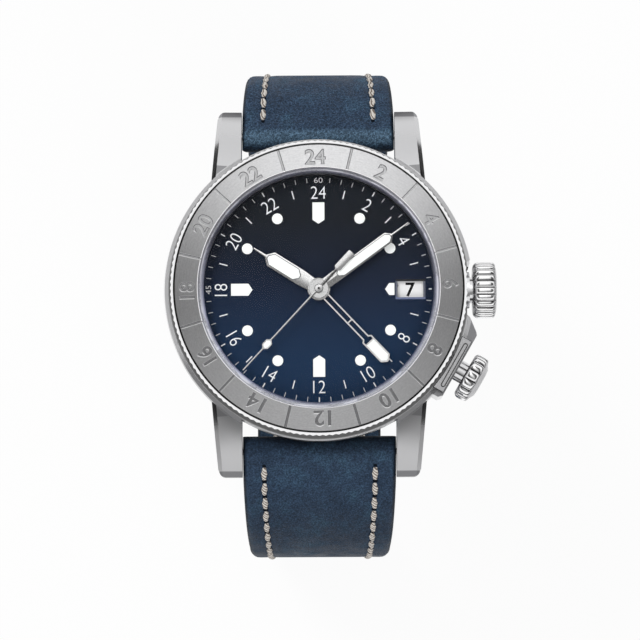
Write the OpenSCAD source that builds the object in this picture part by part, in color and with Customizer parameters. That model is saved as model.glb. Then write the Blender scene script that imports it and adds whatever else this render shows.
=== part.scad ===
// Wristwatch with a turning 24-hour ring, a locking crown and a second 24-hour hand.
// Origin: watch axis, on the outer face of the case back. +Z is the dial side,
// +Y is 12 o'clock and +X is 3 o'clock.

/* [Case] */
// Diameter of the case middle
case_d = 44; // [43.6:0.1:45.4]
// Height of the case middle, from its lower rim to the seat of the ring
case_h = 6.8; // [6.7:0.05:7]
// Height by which the case back stands below the case middle
back_proud = 0.9; // [0.8:0.05:1]
// Thickness of the case back
back_t = 1.4; // [1.2:0.05:1.5]
// Distance from lug tip to lug tip
lug_span = 52.6; // [52:0.1:54]
// Gap between the lugs, which is the strap's width at the case
lug_gap = 22; // [20:0.1:22.6]
// Width of a lug at its tip
lug_w = 3.35; // [3:0.05:4]
// Polished bevel on the outer edge of a lug
lug_bevel = 0.6; // [0.3:0.05:0.9]
// Height of the spring bars above the face of the case back
bar_z = 2.4; // [2.2:0.05:2.6]
// Diameter of a spring bar
bar_d = 1.5; // [1.3:0.05:1.8]

/* [Turning ring] */
// Diameter of the turning ring
ring_d = 42; // [41.4:0.1:42.6]
// Diameter of the opening in the ring's face
ring_bore = 34.1; // [33.8:0.05:34.4]
// Height of the ring at its outer edge
ring_h = 2.35; // [2.2:0.05:2.6]
// Rise of the ring's face from its outer to its inner edge
ring_rise = 0.4; // [0.2:0.05:0.6]
// Number of ribs in the knurled edge
ring_ribs = 144; // [96:12:180]

/* [Crystal and dial] */
// Diameter of the crystal
crystal_d = 33.9; // [33.6:0.05:34]
// Thickness of the crystal at its middle
crystal_t = 1.6; // [1.4:0.05:1.9]
// Diameter of the dial
dial_d = 33.8; // [33.5:0.05:33.9]
// Thickness of the dial
dial_t = 0.4; // [0.3:0.05:0.5]
// Height of the flange ring between dial and crystal
flange_h = 2; // [1.95:0.05:2.3]
// Length of the date window
window_l = 3.65; // [3.2:0.05:3.9]
// Width of the date window
window_w = 2.3; // [2:0.05:2.5]
// Distance of the date window's middle from the watch axis
window_r = 13; // [12.9:0.05:13.2]

/* [Hands] */
// Length of the minute hand
minute_l = 15.8; // [14:0.1:15.9]
// Length of the hour hand
hour_l = 10.9; // [10:0.1:12]
// Length of the skeleton hand
gmt_l = 14.2; // [13:0.1:15]
// Length of the seconds hand
second_l = 15.8; // [14:0.1:15.9]
// Width of the minute hand
minute_w = 1.7; // [1.4:0.05:1.9]
// Width of the hour hand
hour_w = 2.2; // [1.9:0.05:2.4]
// Thickness of a hand
hand_t = 0.16; // [0.1:0.02:0.18]

/* [Crowns] */
// Diameter of the crown
crown_d = 8.1; // [7.4:0.1:8.4]
// Length of the crown
crown_l = 3.4; // [3:0.1:4]
// Number of flutes on the crown
crown_flutes = 24; // [18:1:30]
// Travel of the crown when it is pulled out
crown_pull = 1.2; // [0.8:0.1:1.3]
// Diameter of the locking crown
lock_d = 7; // [6.4:0.1:7.6]
// Length of the locking crown
lock_l = 2.7; // [2.4:0.1:3.2]
// Travel of the brake shoe over one turn of the locking crown
lock_travel = 0.25; // [0.1:0.01:0.28]

/* [Movement] */
// Diameter of the movement
plate_d = 30.4; // [30.3:0.05:30.6]
// Diameter of the rotor
rotor_d = 28.4; // [27.4:0.1:29]
// Diameter of the balance
balance_d = 8; // [7.2:0.1:8.2]
// Turns of the mainspring
spring_turns = 8; // [4:1:10]

/* [Strap] */
// Gap between the strap's tip and the buckle, as both lie on the table
end_gap = 2.3; // [1:0.1:12]
// Width of the strap at the buckle
strap_end_w = 20; // [18:0.1:20.4]
// Thickness of the padded strap near the case
strap_t0 = 3.6; // [3:0.1:4]
// Thickness of the strap at its far part
strap_t1 = 2.6; // [2:0.1:3]
// Radius of the tail half's bend beside the case
tail_bend = 19.6; // [18.6:0.1:20.6]
// Radius of the buckle half's bend beside the case
buckle_bend = 17; // [16.6:0.1:18.6]
// Length of the tail half's standing part
tail_leg = 40; // [39.5:0.5:46]
// Number of holes for the tongue
hole_count = 7; // [3:1:7]
// Reach of the buckle from its bar to its front
buckle_l = 15.5; // [14:0.1:15.8]

/* [Hidden] */
$fn = 96;

// Clearances
run_gap = 0.05;
fit_gap = 0.1;
soft_gap = 0.3;
e = 0.02;

// Heights, from the case back upwards
case_r = case_d / 2;
seat_z = back_proud + case_h;
rotor_z = back_t + 0.35;
plate_z = rotor_z + 3.45;
plate_t = 1.1;
dial_z0 = plate_z + plate_t + 0.6;
dial_z = dial_z0 + dial_t;
ledge_z = dial_z + flange_h;
foot_t = 0.15;
crystal_z = ledge_z + foot_t;
neck_z = ledge_z + 0.45;
stem_z = plate_z;

// Radii of the case's inside
bore_r = dial_d / 2 + fit_gap;
thread_r = bore_r + 0.3;
back_ring_z = back_proud + 2;
gasket_w = 0.35;
seat_r = crystal_d / 2 + gasket_w + 0.05;
neck_r = seat_r + 1.25;
flange_r = bore_r - 0.05;
flange_in = 16.25;

// Turning ring
ring_r = ring_d / 2;
ring_z = seat_z + run_gap;
ring_top = ring_z + ring_h;
ring_bevel = 0.42;
rib_depth = 0.14;
wire_r = 0.2;
wire_z = seat_z + 0.9;
lip_z = neck_z + run_gap;
ring_tilt = 1.3;

// Lugs and spring bars
bar_y = lug_span / 2 - 3.6;
roll_r = 2.2;
wall_r = bar_y - roll_r - soft_gap;
rim_r = case_r - 0.5;
rim_z = bar_z + roll_r + soft_gap + 0.1;
lug_arc = 24;
lug_arc_y = 11.83;
lug_arc_z = seat_z - 24.3;
lug_taper = 4.8;
bar_tip_r = 0.45;
bar_tip_l = 0.9;

// Crown at 3 o'clock
crown_seat = case_r - 1;
crown_x = crown_seat + 0.9;
stem_r = 0.6;
tube_r = 1.9;
tube_in = stem_r + run_gap;
crown_hollow = tube_r + 0.35;
hollow_l = crown_l - 1.3;
tube_end = crown_x + hollow_l - 0.45;
clutch_x = 8.8;
pinion_out = 2.2;
pinion_x = clutch_x + pinion_out;
stem_x = clutch_x - crown_pull - 0.1;
groove_x = 12.7;
pinion_r = 1;

// Levers of the setting work
lever_at = [groove_x + 0.4 + crown_pull / 2, 3.3];
yoke_at = [9.3, 3.4];
lever_z = plate_z + 0.72;

// Locking crown, on an axis that points to 4 o'clock
lock_a = -30;
house_r = case_r + 0.7;
house_w = 9.9;
lock_x = house_r + 1.2;
lock_screw_r = 0.9;
lock_tube_r = 1.55;
lock_hollow = lock_tube_r + 0.3;
lock_hollow_l = lock_l - 1;
shoe_x = ring_r + soft_gap;
tab_x = shoe_x + 0.05;
tab_t = 0.55;
lock_tip = tab_x + tab_t;
lock_z = stem_z;

// Hands: heights and angles clockwise from 12 o'clock
gmt_z = dial_z + 0.45;
hour_z = gmt_z + 0.34;
minute_z = hour_z + 0.34;
second_z = minute_z + 0.34;
hour_a = 302.3;
minute_a = 53.8;
second_a = 222.8;
gmt_a = 136.6;
cannon_r = 0.45;
hour_tube_r = 0.78;
gmt_tube_r = 1.1;
tube_gap = 0.03;
fill_w = 0.26;
fill_rise = 0.05;

// Gear train: modules, tooth counts and places in plan
m_barrel = 0.12;
m_second = 0.1;
m_third = 0.09;
m_fourth = 0.09;
barrel_n = 80;
second_p = 10;
second_n = 64;
third_p = 8;
third_n = 75;
fourth_p = 10;
fourth_n = 70;
escape_p = 8;
escape_n = 20;
barrel_at = polar(8.8, 50);
third_at = polar(pair(m_third, third_n, fourth_p), 125);
second_at = meet(third_at, barrel_at, pair(m_second, second_n, third_p),
    pair(m_barrel, barrel_n, second_p));
escape_at = polar(pair(m_fourth, fourth_n, escape_p), -120);
fork_at = escape_at + polar(2.75, -120);
balance_at = fork_at + polar(3, -120);
arbor_r = 0.12;
hole_r = 0.15;
arm_n = 5;

// Motion work on the dial side
m_motion = 0.15;
m_hour = 0.1;
cannon_n = 12;
minute_n = 36;
minute_p = 8;
hour_n = 64;
setting_n = 18;
minute_at = polar(pair(m_motion, cannon_n, minute_n), -35);
setting_at = minute_at + polar(pair(m_motion, minute_n, setting_n), 6);
motion_z = plate_z + 0.65;

// Date work
date_in = 10.9;
date_out = plate_d / 2 - 0.2;
date_z = plate_z + plate_t + run_gap;
date_t = 0.25;

// Winding work on the back side
bridge_t = 0.7;
bridge_z = plate_z - 2.3;
ratchet_n = 36;
crown_wheel_n = 18;
m_wind = 0.2;
wind_z = bridge_z - 0.28;
wind_t = 0.24;
crown_wheel_at = barrel_at + polar(pair(m_wind, ratchet_n, crown_wheel_n), -52);
pillar_r = plate_d / 2 - 1.3;
bearing_r = 0.7;
rotor_teeth = 18;
m_auto = 0.12;
auto_z = bridge_z - 0.55;

// Strap: side view path of a half, as the start, bend radius and leg length of its
// three arcs. The buckle half's leg ends as low as the tail half's.
strap_w = lug_gap - 0.2;
lean_a = 98;
foot_r = 10;
foot_l = arc_length(foot_r, lean_a, 180);
drop = (lean_a - 90) * PI / 180 / -cos(lean_a);
tail_start = 20;
buckle_start = 24;
tail_way = [tail_start, tail_bend, tail_leg];
buckle_way = [buckle_start, buckle_bend,
    tail_leg + (tail_bend * cos(tail_start) - buckle_bend * cos(buckle_start)) * drop];
tail_end = way_end(tail_way);
// Length of each half, from its spring bar to the buckle's bar or to the tip
bar_back = 1.8;
buckle_half = foot_run(buckle_way) - bar_back;
buckle_at = strap_pos(buckle_way, buckle_half);
tail_half = foot_run(tail_way) + tail_end[0] + buckle_at[0] - buckle_l - end_gap;
leg_z = -56;
floor_z = tail_end[1] - strap_t1 / 2;
taper_z = 0.5;
waist_z = -12;
waist_w = strap_end_w + (strap_w - strap_end_w) / 3;
path_step = 2;
end_t = 3;
tongue_w = 2.4;
keeper_l = 5;
keeper_wall = 1.2;
fixed_keeper_s = buckle_half - 15;
free_keeper_s = buckle_half - 26;
hole_d = 1.8;
hole_pitch = 6.5;
first_hole = 25;

// Buckle
buckle_w = strap_end_w + 4.4;
buckle_in = strap_end_w + 0.6;
buckle_t = 2.4;
buckle_front = 2.6;
eye_r = 1.6;
bar_r = bar_d / 2;

function polar(r, a) = [r * cos(a), r * sin(a)];
function pair(m, a, b) = m * (a + b) / 2;
function angle_to(p, q) = atan2(q[1] - p[1], q[0] - p[0]);
// Point at distance a from p and b from q, on the left of the way from p to q
function meet(p, q, a, b) =
    let (d = norm(q - p), c = (a * a + d * d - b * b) / (2 * a * d))
    p + polar(a, angle_to(p, q) + acos(max(-1, min(1, c))));
// Turn that makes the second wheel's gap meet the first wheel's tooth
function mesh_turn(p, q, np, tp, nq) =
    let (d = angle_to(p, q))
    d + 180 - (0.5 - (d - tp) * np / 360) * 360 / nq;
function arc_to(p, r, a, b) = [p[0] + r * (sin(b) - sin(a)), p[1] + r * (cos(b) - cos(a))];
function arc_length(r, a, b) = r * (b - a) * PI / 180;
function turn_of(l, r) = l / r * 180 / PI;
// Way of a strap half: where its bend, its leg and its foot end, along it and in side view
function bend_run(w) = arc_length(w[1], w[0], 90);
function leg_run(w) = bend_run(w) + w[2];
function foot_run(w) = leg_run(w) + foot_l;
function leg_r(w) = w[2] / ((lean_a - 90) * PI / 180);
function bend_end(w) = arc_to([bar_y, bar_z], w[1], w[0], 90);
function leg_end(w) = arc_to(bend_end(w), leg_r(w), 90, lean_a);
function way_end(w) = arc_to(leg_end(w), foot_r, lean_a, 180);
function strap_dir(w, s) =
    s < bend_run(w) ? w[0] + turn_of(s, w[1]) :
    s < leg_run(w) ? 90 + turn_of(s - bend_run(w), leg_r(w)) :
    s < foot_run(w) ? lean_a + turn_of(s - leg_run(w), foot_r) : 180;
function strap_pos(w, s) =
    let (a = strap_dir(w, s))
    s < bend_run(w) ? arc_to([bar_y, bar_z], w[1], w[0], a) :
    s < leg_run(w) ? arc_to(bend_end(w), leg_r(w), 90, a) :
    s < foot_run(w) ? arc_to(leg_end(w), foot_r, lean_a, a) :
    way_end(w) - [s - foot_run(w), 0];
function strap_side(w, s, d) =
    let (a = strap_dir(w, s))
    strap_pos(w, s) + d * [sin(a), cos(a)];
function strap_half_t(w, s) =
    (strap_t1 + (strap_t0 - strap_t1) * max(0, 1 - s / bend_run(w))) / 2;
function share(v, a, b) = max(0, min(1, (v - a) / (b - a)));
function strap_w_at(z) = strap_w + (waist_w - strap_w) * share(z, taper_z, waist_z)
    + (strap_end_w - waist_w) * share(z, waist_z, leg_z);

// Shapes used by more than one piece

// Toothed wheel outline with pitch radius m * n / 2
module teeth(n, m, turn = 0) {
    rp = m * n / 2;
    step = 360 / n;
    polygon([for (i = [0 : n - 1], k = [[-0.28, -1.2], [-0.13, 0.85], [0.13, 0.85], [0.28, -1.2]])
        polar(rp + k[1] * m, turn + (i + k[0]) * step)]);
}

// Flat wheel with arms
module wheel(n, m, t, turn = 0) {
    r = m * n / 2;
    linear_extrude(t)
        difference() {
            teeth(n, m, turn);
            difference() {
                circle(r * 0.78);
                circle(r * 0.24);
                for (i = [0 : arm_n - 1])
                    rotate(turn + i * 360 / arm_n)
                        translate([0, -r * 0.06])
                            square([r, r * 0.12]);
            }
        }
}

// Arbor between two heights
module arbor(at, z0, z1, r = arbor_r) {
    translate([at[0], at[1], z0])
        cylinder(h = z1 - z0, r = r);
}

// Ring with a bore
module ring(r_out, r_in, z0, z1) {
    translate([0, 0, z0])
        difference() {
            cylinder(h = z1 - z0, r = r_out);
            translate([0, 0, -e])
                cylinder(h = z1 - z0 + 2 * e, r = r_in);
        }
}

// Along the axis of the locking crown
module on_lock_axis(x) {
    rotate(lock_a)
        translate([x, 0, lock_z])
            rotate([0, 90, 0])
                children();
}

// Along the axis of the crown
module on_crown_axis(x) {
    translate([x, 0, stem_z])
        rotate([0, 90, 0])
            children();
}

// Fluted knob with bevelled ends, along +Z
module knob(d, l, n, bevel) {
    r = d / 2;
    flute_r = PI * d / n * 0.3;
    intersection() {
        linear_extrude(l)
            difference() {
                circle(r);
                for (i = [0 : n - 1])
                    rotate(i * 360 / n)
                        translate([r + flute_r * 0.45, 0])
                            circle(flute_r);
            }
        rotate_extrude()
            polygon([[0, 0], [r - bevel, 0], [r, bevel], [r, l - bevel * 1.3],
                [r - bevel * 1.3, l - 0.3], [r - bevel * 3, l - 0.05], [0, l]]);
    }
}

// Sector of a disc from angle a to b
module sector(r, a, b) {
    steps = 12;
    polygon(concat([[0, 0]],
        [for (i = [0 : steps]) polar(r / cos((b - a) / steps / 2), a + (b - a) * i / steps)]));
}

// Plan that is the same on both sides of +Y, from half widths at distances
module hand_plan(sides) {
    n = len(sides);
    polygon(concat(
        [for (i = [0 : n - 1]) [sides[i][0], sides[i][1]]],
        [for (i = [n - 1 : -1 : 0]) [-sides[i][0], sides[i][1]]]));
}

module at_time(a, z) {
    rotate(-a)
        translate([0, 0, z])
            children();
}

// Side view of a strap half of length l, laid out over the strap's width
module strap_side_view(way, l) {
    n = ceil(l / path_step);
    places = [for (i = [0 : n]) l * i / n];
    outer = [for (s = places) strap_side(way, s, strap_half_t(way, s))];
    inner = [for (i = [n : -1 : 0]) let (s = places[i]) strap_side(way, s, -strap_half_t(way, s))];
    rotate([90, 0, 90])
        linear_extrude(strap_w, center = true)
            polygon(concat(outer, inner));
}

// Frame of the strap at distance s: +X stays, +Y runs along the strap, +Z is its outer side
module on_strap(way, s) {
    p = strap_pos(way, s);
    translate([0, p[0], p[1]])
        rotate([-strap_dir(way, s), 0, 0])
            children();
}

// Volume that gives the strap its taper
module strap_taper() {
    top = bar_z + 6;
    low = floor_z - 1;
    rotate([90, 0, 0])
        linear_extrude(160, center = true)
            hand_plan([[strap_end_w / 2, low], [strap_end_w / 2, leg_z],
                [waist_w / 2, waist_z], [strap_w / 2, taper_z], [strap_w / 2, top]]);
}

// Case

module lug() {
    outer = lug_gap / 2 + lug_w;
    tip = lug_span / 2;
    intersection() {
        translate([outer, lug_arc_y, lug_arc_z])
            rotate([0, 0, lug_taper])
                lug_wheel();
        translate([lug_gap / 2, 14, 0])
            linear_extrude(seat_z)
                lug_plan(tip - 14);
        rotate([90, 0, 90])
            linear_extrude(30)
                polygon([[13, seat_z], [13, back_proud], [bar_y - 3, back_proud],
                    [bar_y + 0.6, 0.25], [tip - 0.4, 0.25], [tip, 0.8], [tip, seat_z]]);
    }
}

// Disc whose curved rim gives a lug its top, with the bevel on its outer edge
module lug_wheel() {
    lean = (lug_span / 2 - lug_arc_y) * tan(lug_taper);
    translate([lean, 0, 0])
        rotate([0, 90, 0])
            rotate_extrude()
                polygon([[0, -14], [lug_arc, -14], [lug_arc, -lug_bevel],
                    [lug_arc - lug_bevel, 0], [0, 0]]);
}

// Plan of a lug with a rounded outer corner at its tip
module lug_plan(l) {
    r = 1;
    far = lug_w + 8;
    difference() {
        square([far, l]);
        translate([lug_w - r, l - r])
            difference() {
                square([far, r + 1]);
                circle(r);
            }
    }
}

module case_shell() {
    rotate_extrude()
        polygon([[thread_r, back_proud], [case_r - 1.7, back_proud],
            [case_r - 0.35, back_proud + 1.2], [case_r, back_proud + 2.4],
            [case_r, seat_z - 1.4], [case_r - 0.15, seat_z - 0.5], [case_r - 0.6, seat_z],
            [neck_r, seat_z], [neck_r, neck_z - 0.2], [neck_r - 0.2, neck_z],
            [seat_r, neck_z], [seat_r, ledge_z], [bore_r, ledge_z],
            [bore_r, back_ring_z], [thread_r, back_ring_z]]);
}

// Housing of the locking crown, with its sloping arm
module lock_housing() {
    w = house_w / 2;
    rotate(lock_a)
        translate([0, 0, back_proud + 0.6])
            linear_extrude(seat_z - back_proud - 0.7)
                polygon([[bore_r + 0.6, -w], [house_r - 0.5, -w], [house_r, -w + 0.5],
                    [house_r, w + 0.4], [house_r - 0.3, w + 0.8], [case_r - 1.4, w + 2.2],
                    [bore_r + 0.6, w + 2.2]]);
}

module case_middle() {
    color("silver")
        difference() {
            union() {
                difference() {
                    case_shell();
                    for (k = [-1, 1])
                        space_between_lugs(k);
                }
                difference() {
                    for (i = [0, 1], j = [0, 1])
                        mirror([i, 0, 0])
                            mirror([0, j, 0])
                                lug();
                    translate([0, 0, -e])
                        cylinder(h = seat_z + 1, r = thread_r + 1);
                }
                lock_housing();
            }
            case_cuts();
        }
}

// What is cleared from the wall between two lugs: the strap's end goes under a rim
module space_between_lugs(k) {
    for (cut = [[-e, rim_z, wall_r], [0, neck_z + 1, rim_r]])
        translate([0, 0, cut[0]])
            linear_extrude(cut[1] - cut[0])
                difference() {
                    translate([-lug_gap / 2, k > 0 ? 12 : -30])
                        square([lug_gap, 18]);
                    circle(cut[2]);
                }
}

module case_cuts() {
    // Grooves for the back gasket and for the ring's wire spring
    ring(thread_r + 0.85, thread_r + 0.25, back_proud - e, back_proud + 0.4);
    translate([0, 0, wire_z])
        rotate_extrude()
            translate([neck_r, 0])
                circle(wire_r + 0.03);
    // Crown: flat seat and bore of the tube
    on_crown_axis(crown_seat)
        cylinder(h = 6, r = crown_d / 2 + 0.5);
    on_crown_axis(bore_r - 1)
        cylinder(h = 8, r = tube_r);
    // Locking crown: bore of the tube, and pocket of the brake shoe
    on_lock_axis(tab_x + tab_t + 0.1)
        cylinder(h = 8, r = lock_tube_r);
    rotate(lock_a)
        translate([tab_x - lock_travel - 0.1, -1.6, lock_z - 1.3])
            cube([lock_travel + tab_t + 0.25, 3.2, seat_z - lock_z + 3]);
    // Blind holes for the spring bars
    for (i = [-1, 1], j = [-1, 1])
        translate([i * lug_gap / 2, j * bar_y, bar_z])
            rotate([0, 90, 0])
                cylinder(h = 2 * bar_tip_l + 0.4, r = bar_tip_r + 0.03, center = true);
}

module case_back() {
    flange = thread_r + 1.1;
    notch_r = flange + 0.2;
    color("silver")
        difference() {
            rotate_extrude()
                polygon([[0, 0], [flange - 1.6, 0], [flange - 1.3, 0.2], [flange, 0.35],
                    [flange, back_proud], [thread_r - fit_gap, back_proud],
                    [thread_r - fit_gap, back_ring_z - fit_gap],
                    [thread_r - 1.5, back_ring_z - fit_gap], [thread_r - 1.5, back_t], [0, back_t]]);
            for (i = [0 : 5])
                rotate(i * 60)
                    translate([notch_r, 0, -e])
                        cylinder(h = back_proud - 0.25, r = 1.3);
        }
}

module back_gasket() {
    color("dimgray")
        ring(thread_r + 0.8, thread_r + 0.3, back_proud, back_proud + 0.37);
}

module crystal() {
    r = crystal_d / 2;
    rim = crystal_t - 0.35;
    color("lightcyan")
        translate([0, 0, crystal_z])
            rotate_extrude()
                polygon([[0, 0], [r, 0], [r, rim - 0.3], [r - 0.6, rim], [r * 0.75, rim + 0.16],
                    [r * 0.5, rim + 0.27], [r * 0.25, rim + 0.33], [0, crystal_t]]);
}

module crystal_gasket() {
    r = seat_r - 0.02;
    color("lavender")
        rotate_extrude()
            polygon([[flange_in, ledge_z], [r, ledge_z], [r, neck_z - 0.05],
                [crystal_d / 2 + 0.02, neck_z - 0.05], [crystal_d / 2 + 0.02, crystal_z],
                [flange_in, crystal_z]]);
}

module flange_ring() {
    color("midnightblue")
        rotate_extrude()
            polygon([[flange_in + 0.1, dial_z], [flange_r, dial_z], [flange_r, ledge_z],
                [flange_in, ledge_z], [flange_in, ledge_z - 0.3]]);
}

module knurl_plan() {
    step = 360 / ring_ribs;
    polygon([for (i = [0 : ring_ribs - 1], k = [0, 1])
        polar(ring_r - k * rib_depth, (i + k / 2) * step)]);
}

module turning_ring() {
    face = ring_top + ring_rise;
    face_w = ring_r - ring_bevel - ring_bore / 2;
    groove_w = 0.22;
    color("lightgray")
        difference() {
            intersection() {
                rotate_extrude()
                    polygon([[neck_r + run_gap, ring_z], [ring_r - 0.2, ring_z],
                        [ring_r + e, ring_z + 0.2 + e], [ring_r + e, ring_top - ring_bevel - e],
                        [ring_r - ring_bevel, ring_top], [ring_bore / 2, face],
                        [ring_bore / 2, lip_z], [neck_r + run_gap, lip_z]]);
                translate([0, 0, ring_z - e])
                    linear_extrude(ring_h + ring_rise + 1)
                        knurl_plan();
            }
            translate([0, 0, wire_z])
                rotate_extrude()
                    translate([neck_r, 0])
                        circle(wire_r + 0.1);
            for (i = [0 : 11])
                rotate(15 + 30 * i + ring_tilt)
                    translate([ring_bore / 2, -groove_w / 2, face])
                        rotate([0, atan(ring_rise / face_w), 0])
                            translate([0.45, 0, -0.12])
                                cube([face_w - 0.75, groove_w, 1]);
        }
}

module ring_spring() {
    color("silver")
        translate([0, 0, wire_z])
            difference() {
                rotate_extrude()
                    translate([neck_r, 0])
                        circle(wire_r);
                translate([0, -1, -1])
                    cube([neck_r + 2, 2, 2]);
            }
}

// Dial

module window_cut(grow, z) {
    translate([window_r, 0, z])
        linear_extrude(2)
            square([window_l + grow, window_w + grow], center = true);
}

module dial() {
    color("midnightblue")
        difference() {
            translate([0, 0, dial_z0])
                cylinder(h = dial_t, r = dial_d / 2);
            arbor([0, 0], dial_z0 - 1, dial_z + 1, gmt_tube_r + 0.15);
            window_cut(0, dial_z0 - 1);
            window_cut(0.3, dial_z - 0.12);
        }
}

module pentagon(l, w, point) {
    polygon([[-w / 2, l], [w / 2, l], [w / 2, point], [0, 0], [-w / 2, point]]);
}

module dial_markers() {
    block_w = 1.7;
    block_in = 9.4;
    block_l = 3.05;
    dot_r = 0.76;
    dot_at = 11.7;
    color("white")
        translate([0, 0, dial_z])
            linear_extrude(0.18) {
                for (a = [0, 180, 270])
                    rotate(-a)
                        translate([0, block_in])
                            pentagon(block_l, block_w, 0.57);
                rotate(-90)
                    translate([0, block_in])
                        pentagon(window_r - window_l / 2 - block_in - 0.45, block_w, 0.57);
                for (i = [1, 2, 4, 5, 7, 8, 10, 11])
                    rotate(-30 * i)
                        translate([0, dot_at])
                            circle(dot_r);
            }
}

// Hands

module hour_plan() {
    body = hour_l - 2.9;
    hand_plan([[0.9, 0], [hour_w / 2 - 0.15, 1.4], [hour_w / 2, 3], [hour_w / 2, body],
        [0.13, body + 0.95], [0.11, hour_l]]);
}

module hour_fill_plan() {
    w = hour_w / 2 - fill_w;
    body = hour_l - 2.9;
    hand_plan([[w * 0.3, 3.2], [w, 3.9], [w, body - 0.1], [w * 0.25, body + 0.5]]);
}

module minute_plan() {
    body = minute_l - 3.6;
    hand_plan([[0.85, 0], [0.8, 1.4], [minute_w / 2, 3.4], [minute_w / 2, body],
        [0.12, body + 0.75], [0.1, minute_l]]);
}

module minute_fill_plan() {
    w = minute_w / 2 - fill_w * 0.85;
    body = minute_l - 3.6;
    hand_plan([[w * 0.3, 3.4], [w, 4.1], [w, body - 0.1], [w * 0.3, body + 0.4]]);
}

// Blade with its hub, bored to go on a tube of radius r_in
module hand_blade(hub_r, r_in, t, hub_t) {
    difference() {
        union() {
            linear_extrude(t)
                children(0);
            cylinder(h = t, r = hub_r);
            translate([0, 0, t - hub_t])
                cylinder(h = hub_t, r = r_in + 0.3);
        }
        translate([0, 0, -3])
            cylinder(h = 6, r = r_in);
        translate([0, 0, t / 2])
            linear_extrude(t)
                children(1);
    }
}

module hour_hand() {
    color("gainsboro") {
        at_time(hour_a, hour_z)
            hand_blade(1.55, hour_tube_r, hand_t, 0.22) {
                hour_plan();
                hour_fill_plan();
            }
        hour_pipe();
    }
}

// Tube of the hour hand with its toothed wheel
module hour_pipe() {
    z0 = motion_z + 0.35;
    turn = mesh_turn(minute_at, [0, 0], minute_p, 0, hour_n);
    difference() {
        union() {
            translate([0, 0, z0])
                wheel(hour_n, m_hour, 0.12, turn);
            arbor([0, 0], z0, hour_z + hand_t, hour_tube_r);
        }
        arbor([0, 0], z0 - 1, hour_z + 1, cannon_r + tube_gap);
    }
}

module hour_hand_lume() {
    color("white")
        at_time(hour_a, hour_z + hand_t / 2)
            linear_extrude(hand_t / 2 + fill_rise)
                hour_fill_plan();
}

module minute_hand() {
    color("gainsboro")
        at_time(minute_a, minute_z)
            hand_blade(1.4, cannon_r, hand_t, 0.2) {
                minute_plan();
                minute_fill_plan();
            }
}

module minute_hand_lume() {
    color("white")
        at_time(minute_a, minute_z + hand_t / 2)
            linear_extrude(hand_t / 2 + fill_rise)
                minute_fill_plan();
}

module gmt_outline() {
    neck = 9.6;
    hand_plan([[0.525, 0.9], [0.525, neck], [0.875, neck + 0.25], [0.875, gmt_l - 0.6],
        [0.15, gmt_l]]);
}

module gmt_openings() {
    neck = 9.6;
    rail = 0.2;
    hand_plan([[0.525 - rail, 1.5], [0.525 - rail, 6.25]]);
    hand_plan([[0.525 - rail, 6.45], [0.525 - rail, neck + 0.1], [0.875 - rail, neck + 0.35],
        [0.875 - rail, 10.35]]);
}

module gmt_fill_plan() {
    hand_plan([[0.65, 10.55], [0.65, gmt_l - 0.75], [0.12, gmt_l - 0.25]]);
}

module gmt_hand() {
    z0 = motion_z + 0.57;
    turn = mesh_turn(minute_at, [0, 0], minute_p, 0, hour_n);
    color("gainsboro")
        difference() {
            union() {
                at_time(gmt_a, gmt_z)
                    hand_blade(1.6, hour_tube_r + tube_gap, hand_t, 0.2) {
                        difference() {
                            gmt_outline();
                            gmt_openings();
                        }
                        gmt_fill_plan();
                    }
                translate([0, 0, z0])
                    wheel(hour_n, m_hour, 0.1, turn);
                arbor([0, 0], z0, gmt_z + hand_t, gmt_tube_r);
            }
            arbor([0, 0], z0 - 1, gmt_z + 1, hour_tube_r + tube_gap);
        }
}

module gmt_hand_lume() {
    color("white")
        at_time(gmt_a, gmt_z + hand_t / 2)
            linear_extrude(hand_t / 2 + fill_rise)
                gmt_fill_plan();
}

module seconds_hand() {
    t = hand_t * 0.75;
    color("gainsboro")
        at_time(second_a, second_z) {
            linear_extrude(t) {
                hand_plan([[0.15, 0], [0.11, second_l]]);
                hand_plan([[0.2, 10.05], [0.55, 10.35], [0.55, 11.25], [0.2, 11.6]]);
                rotate(180)
                    hand_plan([[0.22, 0], [0.17, 3.8], [0.52, 4.1], [0.52, 6.75], [0.4, 6.95]]);
            }
            cylinder(h = t + 0.1, r = 0.63);
        }
}

// Crown at 3 o'clock

module crown() {
    color("silver")
        difference() {
            on_crown_axis(crown_x)
                knob(crown_d, crown_l, crown_flutes, 0.42);
            on_crown_axis(crown_x - 1)
                cylinder(h = hollow_l + 1, r = crown_hollow);
            on_crown_axis(crown_x - 1)
                cylinder(h = crown_l + 0.5, r = stem_r);
        }
}

module crown_tube() {
    color("silver")
        difference() {
            union() {
                on_crown_axis(bore_r + 0.05)
                    cylinder(h = tube_end - bore_r, r = tube_r);
                on_crown_axis(crown_seat)
                    cylinder(h = 0.4, r = tube_r + 0.7);
            }
            on_crown_axis(bore_r - 1)
                cylinder(h = 12, r = tube_in);
        }
}

module crown_gasket() {
    color("dimgray")
        on_crown_axis(tube_end - 0.9)
            difference() {
                cylinder(h = 0.6, r = crown_hollow);
                translate([0, 0, -1])
                    cylinder(h = 3, r = tube_r + 0.05);
            }
}

module winding_stem() {
    color("silver")
        difference() {
            on_crown_axis(stem_x)
                cylinder(h = crown_x + crown_l - 0.5 - stem_x, r = stem_r);
            on_crown_axis(groove_x)
                difference() {
                    cylinder(h = 0.8, r = 1);
                    translate([0, 0, -1])
                        cylinder(h = 3, r = 0.36);
                }
        }
}

module winding_pinion() {
    color("goldenrod")
        on_crown_axis(pinion_x)
            difference() {
                linear_extrude(1.3)
                    teeth(14, pinion_r * 2 / 16);
                translate([0, 0, -1])
                    cylinder(h = 4, r = stem_r + 0.03);
            }
}

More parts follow.
